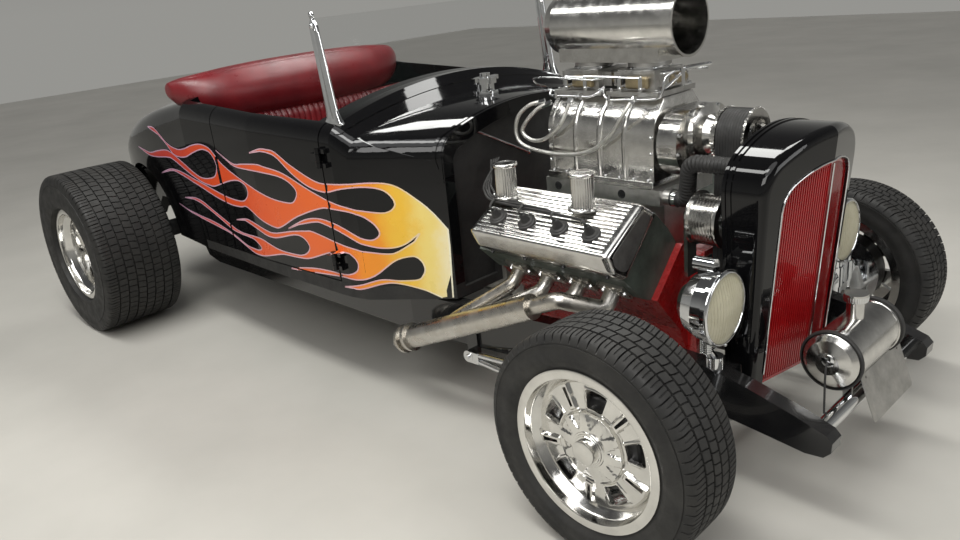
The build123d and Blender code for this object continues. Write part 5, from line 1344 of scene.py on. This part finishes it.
def throttle_rods():
    """The rod that joins the two carburettors, and the cross shaft, arm and rods before the front one."""
    first, second = (at(back) for back in CARB_BACKS)
    rod_z = CARB_BASE + 0.064
    front = second + 0.105
    shaft = front + 0.060
    made = [bar((first + 0.035, -0.106, rod_z), (second - 0.035, -0.106, rod_z), 0.0030, 10)]
    for y in (-0.075, 0.040):
        made.append(bar((front - 0.02, y, 1.058), (front + 0.062, y, 1.070), 0.0038, 10))
    made.append(bar((shaft, -0.085, 1.072), (shaft, 0.050, 1.068), 0.0042, 12))
    made.append(bar((shaft, -0.070, 1.072), (front - 0.030, -0.082, 0.996), 0.0036, 10))
    arm = rectangle(0.005, 0.024, 0.0045)
    made.append(prism(arm, (shaft, -0.088, 1.052), (1, 0, 0), (0, 0, 1), 0.003, 0.0005))
    return made


def make_header_dress(side, which):
    """A weld ring round each pipe's port, the collector's end cap with its bolts."""
    weld = [(0, 0.0225), (0.0005, 0.0262), (0.0035, 0.0268), (0.006, 0.0245), (0.0075, 0.0222)]
    rings, screws = [], []
    way = np.array([0, side * HALF_ROOT, -HALF_ROOT])
    for i in range(4):
        x = at(0.222 + 0.116 * i)
        rings.append(turned(weld, on_bank(x, 0.352, 0.1175, side), way, 36))
        for dx in (-0.036, 0.036):
            screws += bolt(on_bank(x + dx, 0.350, 0.1172, side), way, 0.0055, 0.006)
    tail, head = np.array([at(0.945), side * 0.520, 0.250]), np.array([at(0.330), side * 0.455, 0.497])
    way = unit(tail - head)
    cap = [(-0.002, 0), (-0.002, 0.044), (0.004, 0.044), (0.006, 0.040), (0.006, 0)]
    rings.append(turned(cap, tail, way, 48))
    u, v, _ = basis(way)
    for k in range(3):
        a = 2 * math.pi * k / 3 + 0.5
        screws += bolt(tail + way * 0.004 + 0.0405 * (math.cos(a) * u + math.sin(a) * v), way, 0.005, 0.005)
    piece(f"header_rings_{which}", rings, "chassis", "pipe_steel")
    piece(f"header_bolts_{which}", screws, "chassis", "bright_chrome")


def make_firewall_rod():
    """A thin bright rod lying across the firewall, with a round end at each anchor."""
    low, high = (0.5825, 0.008, 0.776), (0.5825, -0.239, 0.898)
    anchor = [(0, 0), (0, 0.008), (0.006, 0.007), (0.009, 0.003), (0.009, 0)]
    made = [bar(low, high, 0.0035, 12)]
    made += [turned(anchor, (0.5783, end[1], end[2]), (1, 0, 0), 20) for end in (low, high)]
    piece("firewall_rod", made, "chassis", "bright_chrome")


for which, side in SIDES.items():
    make_rocker_cover(side, which)
    make_breathers(side, which)
    make_plug_leads(side, which)
    make_header_dress(side, which)
make_firewall_rod()
make_blower_case()
make_blower_bolts()
make_adapter_wells()
make_drive_dress()
make_belt_ribs()
make_coolant_hose()
make_fuel_lines()
make_carburettor_dress()


# The cabin: the seat's three pads, the windscreen posts, and dials.
def inflated(part, voxel, cap, press=4.0):
    """A form remeshed, blown up as cloth without gravity, no point moved past the cap, and subdivided."""
    mesh = bpy.data.meshes.new("pad_form")
    mesh.from_pydata(np.asarray(part[0]).tolist(), [], part[1])
    pad = bpy.data.objects.new("pad_form", mesh)
    scene = bpy.context.scene
    scene.collection.objects.link(pad)
    remesh = pad.modifiers.new("even_mesh", "REMESH")
    remesh.mode = "VOXEL"
    remesh.voxel_size = voxel

    def settled():
        """The pad's mesh with its modifiers applied."""
        ready = pad.evaluated_get(bpy.context.evaluated_depsgraph_get())
        return bpy.data.meshes.new_from_object(ready)

    even = settled()
    pad.modifiers.clear()
    pad.data = even
    at_rest = corners(even)
    cloth = pad.modifiers.new("cloth", "CLOTH")
    cloth.settings.quality = 4
    cloth.settings.use_pressure = True
    cloth.settings.uniform_pressure_force = press
    cloth.settings.effector_weights.gravity = 0
    cloth.point_cache.frame_start, cloth.point_cache.frame_end = 1, CLOTH_FRAMES
    for frame_number in range(1, CLOTH_FRAMES + 1):
        scene.frame_set(frame_number)
    shift = corners(settled()) - at_rest
    pad.modifiers.clear()
    far = np.linalg.norm(shift, axis=1, keepdims=True)
    at_rest = at_rest + shift * np.minimum(1, cap / np.maximum(far, 1e-9))
    scene.frame_set(1)
    even.vertices.foreach_set("co", at_rest.ravel())
    even.update()
    finer = pad.modifiers.new("finer", "SUBSURF")
    finer.levels = finer.render_levels = 1
    final = settled()
    points = corners(final)
    faces = [list(face.vertices) for face in final.polygons]
    bpy.data.objects.remove(pad)
    return points, faces


def corners(mesh):
    """A mesh's points as rows."""
    flat = np.empty(3 * len(mesh.vertices))
    mesh.vertices.foreach_get("co", flat)
    return flat.reshape(-1, 3)


# Rings of the roll: (distance from the middle, station, height, half depth, half height).
ROLL_RINGS = [
    (0.0, 2.118, 0.992, 0.130, 0.124), (0.20, 2.122, 0.992, 0.128, 0.122),
    (0.35, 2.130, 0.992, 0.123, 0.116), (0.46, 2.150, 1.000, 0.108, 0.098),
    (0.53, 2.182, 1.018, 0.080, 0.070), (0.572, 2.215, 1.036, 0.040, 0.038),
]
ROLL_SWELL, BASE_SWELL, BACK_SWELL = 0.012, 0.022, 0.016
SWELL_LEFT = 0.8      # share of the swelling that the form leaves room for
CLOTH_FRAMES = 20
PLEAT = 0.027
SEAM_ANGLE, SEAM_DEPTH = 1.15, 0.0030
BACK_FRONT, BACK_REAR = at(2.0317), at(2.0897)
BASE_FRONT, BASE_REAR = at(1.610), at(2.031)
BASE_FOOT = 0.4215


def room_for(swell):
    """How much smaller a form is made than the finished pad; nothing where no cloth is run."""
    return swell * SWELL_LEFT


def pleated(distance):
    """Round-topped channels: the square root of a folded cosine, 0 in the seam and 1 on the crown."""
    return np.sqrt(np.abs(np.cos(np.pi * distance / PLEAT)))


def make_seat_roll():
    """Ellipses carried across the car, smaller and further back at the ends; a seam follows the crown."""
    half = np.array(ROLL_RINGS)
    full = np.vstack([half[::-1], half[1:] * (-1, 1, 1, 1, 1)])
    dense = through(full, 6)
    a = np.linspace(0, 2 * np.pi, 48, endpoint=False)[None, :]
    shrink = room_for(ROLL_SWELL)
    deep = np.maximum(dense[:, 3:4] - shrink, 0.006)
    tall = np.maximum(dense[:, 4:5] - shrink, 0.006)
    across = np.repeat(dense[:, 0:1], 48, 1)
    rings = np.stack([at(dense[:, 1:2]) + deep * np.cos(a), across, dense[:, 2:3] + tall * np.sin(a)], -1)
    points, faces = inflated(capped(rings), 0.008, ROLL_SWELL)
    from_middle = np.abs(points[:, 1])
    middle_x = np.interp(from_middle, half[:, 0], at(half[:, 1]))
    middle_z = np.interp(from_middle, half[:, 0], half[:, 2])
    turn = np.arctan2(points[:, 2] - middle_z, points[:, 0] - middle_x)
    seam = np.exp(-((turn - SEAM_ANGLE) / 0.035) ** 2) * smooth(0.565, 0.52, from_middle)
    points[:, 0] -= SEAM_DEPTH * seam * np.cos(turn)
    points[:, 2] -= SEAM_DEPTH * seam * np.sin(turn)
    points[:, 0] = np.maximum(points[:, 0], at(2.262))
    pad = piece("seat_roll", [(points, faces)], "chassis", "red_leather", ("seat",), crease=80)


def make_seat_back():
    """An upright pad with round-topped pleats sewn down its front after it is blown up."""
    gap = room_for(BACK_SWELL)
    form = block(np.add((BACK_REAR, -0.53, 0.430), gap), np.subtract((BACK_FRONT, 0.53, 0.938), gap), 0.014)
    points, faces = inflated(form, 0.008, BACK_SWELL, 3.0)
    face = smooth(BACK_FRONT - 0.030, BACK_FRONT - 0.008, points[:, 0])
    points[:, 0] -= 0.0105 * (1 - pleated(points[:, 1])) * face
    pad = piece("seat_back", [(points, faces)], "chassis", "red_leather", crease=80)


def make_seat_base():
    """A crowned bench pad, its top pleated fore and aft inside a plain border."""
    gap = room_for(BASE_SWELL)
    low = np.add((BASE_REAR, -0.5, BASE_FOOT), gap)
    high = np.subtract((BASE_FRONT, 0.5, 0.640), (gap, gap, gap + 0.012))
    points, faces = inflated(block(low, high, 0.020), 0.010, BASE_SWELL, 3.0)
    points[:, 2] = np.maximum(points[:, 2], BASE_FOOT)
    from_middle = points[:, 0] - 0.5 * (BASE_FRONT + BASE_REAR)
    crown = 1 - (from_middle / 0.26) ** 2
    top = smooth(0.585, 0.612, points[:, 2]) * smooth(0.488, 0.470, np.abs(points[:, 1]))
    top = top * smooth(0.190, 0.175, np.abs(from_middle))
    seams = 1 - pleated(points[:, 1])
    points[:, 2] += 0.010 * crown * smooth(0.55, 0.63, points[:, 2]) - 0.010 * seams * top
    pad = piece("seat_base", [(points, faces)], "chassis", "red_leather", crease=80)


POST_FOOT_Z, POST_TOP_Z, POST_Y = 0.9510, 1.2985, 0.5275
POST_LEAN = -0.040 / (POST_TOP_Z - POST_FOOT_Z)
# Rings of a post: (height, half width, half depth, share of the ribs).
POST_RINGS = [
    (0, 0.031, 0.0115, 0), (0.002, 0.032, 0.0118, 0), (0.010, 0.0305, 0.0105, 0), (0.022, 0.026, 0.0088, 0.3),
    (0.036, 0.0225, 0.008, 0.8), (0.052, 0.0205, 0.0076, 1), (0.07, 0.0195, 0.0074, 1),
    (0.12, 0.0185, 0.0074, 1), (0.2, 0.0170, 0.0072, 1), (0.28, 0.0155, 0.0070, 1),
    (0.300, 0.0145, 0.0068, 0.8), (0.312, 0.011, 0.0065, 0.3), (0.318, 0.0085, 0.0060, 0),
    (0.323, 0.0060, 0.0052, 0), (0.328, 0.0058, 0.0052, 0), (0.334, 0.0075, 0.0068, 0),
    (0.340, 0.0072, 0.0066, 0), (0.3450, 0.0045, 0.0042, 0), (0.3472, 0.0015, 0.0015, 0),
]


def make_post(side, which):
    """An oval bar with two long ribs on its broad faces, drawn in to a small ball at the top."""
    z, wide, deep, ribs = (column[:, None] for column in np.array(POST_RINGS).T)
    a = np.linspace(0, 2 * np.pi, 56, endpoint=False)[None, :]
    c, s = np.cos(a), np.sin(a)
    wide, deep = wide * np.where(z < 0.315, 1.38, 1.1), deep * 1.25
    across = wide * np.sign(c) * np.abs(c) ** 0.8
    out = deep * np.sign(s) * np.abs(s) ** 0.55
    ridge = 0.0034 * ribs * np.cos(2 * np.pi * across / wide) * np.abs(s) ** 2
    shape = np.stack([across, out - np.sign(s) * ridge, np.repeat(z, 56, 1)], -1)
    shape[..., 0] += at(1.148) + POST_LEAN * shape[..., 2] + 0.004
    shape[..., 1] += side * POST_Y
    shape[..., 2] += POST_FOOT_Z
    foot_nut = turned([(0, 0), (0, 0.0072), (0.004, 0.0072), (0.006, 0.005), (0.0082, 0)],
                      (at(1.148) + 0.032, side * POST_Y, POST_FOOT_Z + 0.006), (0.35, 0, 1), 20)
    top_nut = turned([(0, 0), (0, 0.0085), (0.003, 0.0082), (0.006, 0.006), (0.0078, 0)],
                     (at(1.148) - 0.028, side * 0.5365, 1.255), (0, side, 0), 20)
    piece(f"screen_post_{which}", [capped(shape), foot_nut, top_nut], "chassis", "bright_chrome",
          ("screen_posts",), crease=50)


def make_dials():
    """Bezels, glasses and pointer faces along the dashboard."""
    bezels, faces = [], []
    for y, z, r in ((0.30, 0.925, 0.044), (0.19, 0.930, 0.026), (0.41, 0.905, 0.026), (0.10, 0.940, 0.026),
                    (-0.02, 0.945, 0.026)):
        spot = (0.1785, y, z)
        ring = [(0, r - 0.002), (0, r), (0.004, r + 0.001), (0.007, r - 0.001), (0.0075, r - 0.004),
                (0.004, r - 0.005)]
        bezels.append(turned(ring, spot, (-1, 0, 0), 40))
        glass = [(0.0005, 0), (0.0005, r - 0.004), (0.0035, r - 0.0045), (0.0035, 0)]
        faces.append(turned(glass, spot, (-1, 0, 0), 32))
        for k in range(9):
            a = math.radians(-130 + 260 * k / 8)
            tick = block((0.1743, y - 0.0007, z + r * 0.66), (0.1752, y + 0.0007, z + r * 0.84), 0.0002)
            bezels.append(spun(tick, (0.1745, y, z), (1, 0, 0), a))
    piece("dial_bezels", bezels, "chassis", "bright_chrome")
    piece("dial_faces", faces, "chassis", "hose_rubber")


make_seat_roll()
make_seat_back()
make_seat_base()
for which, side in SIDES.items():
    make_post(side, which)
make_dials()


# The nose: lamps, grille edging, tank and plate.
LAMP_Y, LAMP_Z, LENS_X = 0.350, 0.540, 1.5130
LENS_RADIUS, LENS_BULGE = 0.0872, 0.0150


def make_lamp_glass(side, which):
    """A shallow dome with upright flutes: height falls with the square of the radius, plus a fine cosine."""
    count = 220
    r = np.linspace(0.0004, LENS_RADIUS, 64)[:, None]
    a = np.linspace(0, 2 * np.pi, count, endpoint=False)[None, :]
    y, z = r * np.cos(a), r * np.sin(a)
    flute = 0.0012 * np.cos(2 * np.pi * y / 0.0105) * smooth(0.084, 0.079, r)
    x = LENS_BULGE * (1 - (r / LENS_RADIUS) ** 2) + 0.0045 + flute
    dome = np.stack([LENS_X + x, side * LAMP_Y + y, LAMP_Z + z], -1)
    back = dome[-1:] * (0, 1, 1) + (LENS_X + 0.0002, 0, 0)
    piece(f"lamp_glass_{which}", [capped(np.vstack([dome, back]))], "chassis", "fluted_glass",
          ("headlamp_lenses",), crease=50)


def make_lamp_rim(side, which):
    """The lamp's bright ring, the ringed stalk under it and the screw below the lens."""
    ring = turned([(-0.006, 0.0900), (-0.008, 0.0935), (-0.006, 0.0962), (0.002, 0.0968), (0.0070, 0.0950),
                   (0.0098, 0.0915), (0.0095, 0.0885), (0.0065, 0.0868), (0.0040, 0.0868)],
                  (LENS_X, side * LAMP_Y, LAMP_Z), (1, 0, 0), 72)
    stalk = [(0, 0)]
    for foot in (0.0052 * k for k in range(9)):
        stalk += [(foot, 0.0150), (foot + 0.0016, 0.0172), (foot + 0.0036, 0.0172)]
    stalk += [(0.048, 0.0150), (0.048, 0)]
    post = turned(stalk, (1.4665, side * LAMP_Y, 0.4110), (0, 0, 1), 32)
    screw = bolt((LENS_X + 0.002, side * LAMP_Y, LAMP_Z - 0.0950), (1, 0, -0.4), 0.005, 0.008)
    piece(f"lamp_rim_{which}", [ring, post] + screw, "chassis", "bright_chrome", crease=50)


def make_grille_edging():
    """A thin bright strip round the opening and one down the crease. The opening's edge is found by halving
    steps outward from its middle until a ray from in front just meets the shell."""
    shell = skin_of(["grille_shell"])
    before, deepest = (2.0, 0, 0.60), at(-0.14)
    edge = []
    for turn in np.radians(np.arange(-59.0, 239.5, 3.0)):
        way = np.array([0, math.cos(turn), math.sin(turn)])
        near, far = 0.10, 0.42
        while far - near > 0.0004:
            middle = 0.5 * (near + far)
            hit, _, _, _ = shell.ray_cast(Vector(before + way * middle), Vector((-1, 0, 0)))
            if hit is not None and hit[0] > deepest:
                far = middle
            else:
                near = middle
        edge.append(before + way * (far + 0.0030))
    laid = [p for p in dropped_on(shell, edge, (-1, 0, 0), 0.0012) if p and p[0] > deepest]
    lean = math.tan(math.radians(5))
    crease = [(at(-0.2222) + (z - 0.786) * lean, 0, z) for z in np.linspace(0.270, 0.832, 12)]
    strips = [tube(laid, 0.0026, 10), tube(crease, 0.0024, 10)]
    piece("grille_edging", strips, "chassis", "bright_chrome", crease=60)


def make_tank_dress():
    """A black band round each end of the fuel tank, its fluted filler cap, and the thin rod from its end."""
    middle = np.array([at(-0.300), 0, 0.360])
    knob_x = middle[0] + 0.004
    band = [(-0.007, 0.0750), (-0.007, 0.0785), (-0.004, 0.0805), (0.004, 0.0805), (0.007, 0.0785),
            (0.007, 0.0750)]
    bands = [turned(band, middle + (0, y, 0), (0, 1, 0), 72) for y in (-0.133, 0.133)]
    rod = through([(knob_x, -0.1645, 0.372), (knob_x, -0.176, 0.345), (middle[0] + 0.014, -0.196, 0.240)], 8)
    bands.append(tube(rod, 0.0028, 10))
    piece("tank_bands", bands, "chassis", "hose_rubber")
    knurl = fluted((middle[0], 0, 0.4790), [0, 0.004, 0.010, 0.014], [0, 1, 1, 0], 0.0302, 0.0009, 30, 120)
    boss = turned([(0, 0), (0, 0.016), (0.004, 0.016), (0.006, 0.012), (0.006, 0)], (knob_x, -0.1620, 0.372),
                  (0, -1, 0), 28)
    piece("tank_cap", [knurl, boss], "chassis", "bright_chrome", crease=60)


for which, side in SIDES.items():
    make_lamp_glass(side, which)
    make_lamp_rim(side, which)
make_grille_edging()
make_tank_dress()


# The room and the camera.
PHOTO_CAMERA = (2.4634, -2.0246, 1.3579)
PHOTO_YAW, PHOTO_PITCH, PHOTO_ROLL = 2.3923, 0.3435, -0.1002
PHOTO_FOCAL, PHOTO_WIDTH = 824.51, 960      # pixels
SENSOR_WIDTH = 36.0      # millimetres
FLOOR_HALF = 14.0


def make_camera():
    """The photographer's place: a phone held a little above the bonnet line, by the right front wheel."""
    data = bpy.data.cameras.new("photo_camera")
    data.sensor_width = SENSOR_WIDTH
    data.lens = PHOTO_FOCAL * SENSOR_WIDTH / PHOTO_WIDTH
    data.clip_start, data.clip_end = 0.05, 60.0
    camera = bpy.data.objects.new("photo_camera", data)
    bpy.context.scene.collection.objects.link(camera)
    flat = math.cos(PHOTO_PITCH)
    ahead = np.array([math.cos(PHOTO_YAW) * flat, math.sin(PHOTO_YAW) * flat, -math.sin(PHOTO_PITCH)])
    level = np.array([math.sin(PHOTO_YAW), -math.cos(PHOTO_YAW), 0.0])
    above = np.cross(level, ahead)
    right = math.cos(PHOTO_ROLL) * level + math.sin(PHOTO_ROLL) * above
    up = -math.sin(PHOTO_ROLL) * level + math.cos(PHOTO_ROLL) * above
    pose = np.eye(4)
    pose[:3, 0], pose[:3, 1], pose[:3, 2], pose[:3, 3] = right, up, -ahead, PHOTO_CAMERA
    camera.matrix_world = Matrix(pose.tolist())
    bpy.context.scene.camera = camera


def make_floor():
    """A wide pale floor, very slightly mottled like sealed concrete."""
    mesh = bpy.data.meshes.new("floor")
    outline = [(-FLOOR_HALF, -FLOOR_HALF, 0), (FLOOR_HALF, -FLOOR_HALF, 0), (FLOOR_HALF, FLOOR_HALF, 0),
               (-FLOOR_HALF, FLOOR_HALF, 0)]
    mesh.from_pydata(outline, [], [(0, 1, 2, 3)])
    floor = bpy.data.objects.new("floor", mesh)
    bpy.context.scene.collection.objects.link(floor)
    mesh.materials.append(surface("pale_floor", (0.60, 0.58, 0.53), (0.52, 0.505, 0.46), (0.5, 0.65), 0.9))


def area_light(name, place, aim, size, power, colour=(1, 1, 1)):
    """A rectangle of light at a place, turned to face its aim."""
    data = bpy.data.lights.new(name, "AREA")
    data.shape = "RECTANGLE"
    data.size, data.size_y = size
    data.energy = power
    data.color = colour
    light = bpy.data.objects.new(name, data)
    bpy.context.scene.collection.objects.link(light)
    light.location = place
    light.rotation_mode = "QUATERNION"
    light.rotation_quaternion = (Vector(aim) - Vector(place)).to_track_quat("-Z", "Y")


def make_lights():
    """Two long ceiling lights over the car, a large soft key by the camera and a low fill from the front."""
    area_light("ceiling_near", (0.2, -1.5, 3.3), (0.2, -0.4, 0.3), (3.6, 0.5), 62, (1.0, 1.0, 0.97))
    area_light("ceiling_far", (-0.3, 1.3, 3.3), (-0.3, 0.3, 0.4), (3.6, 0.5), 58, (1.0, 1.0, 0.97))
    area_light("key", (2.2, -3.6, 2.9), (0.3, -0.2, 0.5), (2.2, 1.6), 60, (1.0, 0.99, 0.97))
    area_light("front_fill", (4.6, 0.8, 1.9), (1.2, 0.0, 0.6), (1.8, 1.6), 26)
    sun = bpy.data.lights.new("soft_sun", "SUN")
    sun.energy = 0.95
    sun.angle = math.radians(50)
    high = bpy.data.objects.new("soft_sun", sun)
    bpy.context.scene.collection.objects.link(high)
    high.rotation_euler = (0.35, 0.25, 0)
    world = bpy.data.worlds.new("studio")
    bpy.context.scene.world = world
    world.use_nodes = True
    tree = world.node_tree
    coordinates = new_node(tree, "TexCoord")
    split = new_node(tree, "SeparateXYZ")
    ramp = new_node(tree, "ValToRGB")
    bottom, above = ramp.color_ramp.elements
    bottom.position, bottom.color = 0.0, (0.30, 0.297, 0.28, 1)
    above.position, above.color = 0.55, (0.075, 0.075, 0.075, 1)
    wired(tree, (coordinates, "Generated", split, "Vector"), (split, "Z", ramp, "Fac"),
          (ramp, "Color", tree.nodes["Background"], "Color"))
    bpy.context.scene.view_settings.view_transform = "Standard"


make_camera()
make_floor()
make_lights()
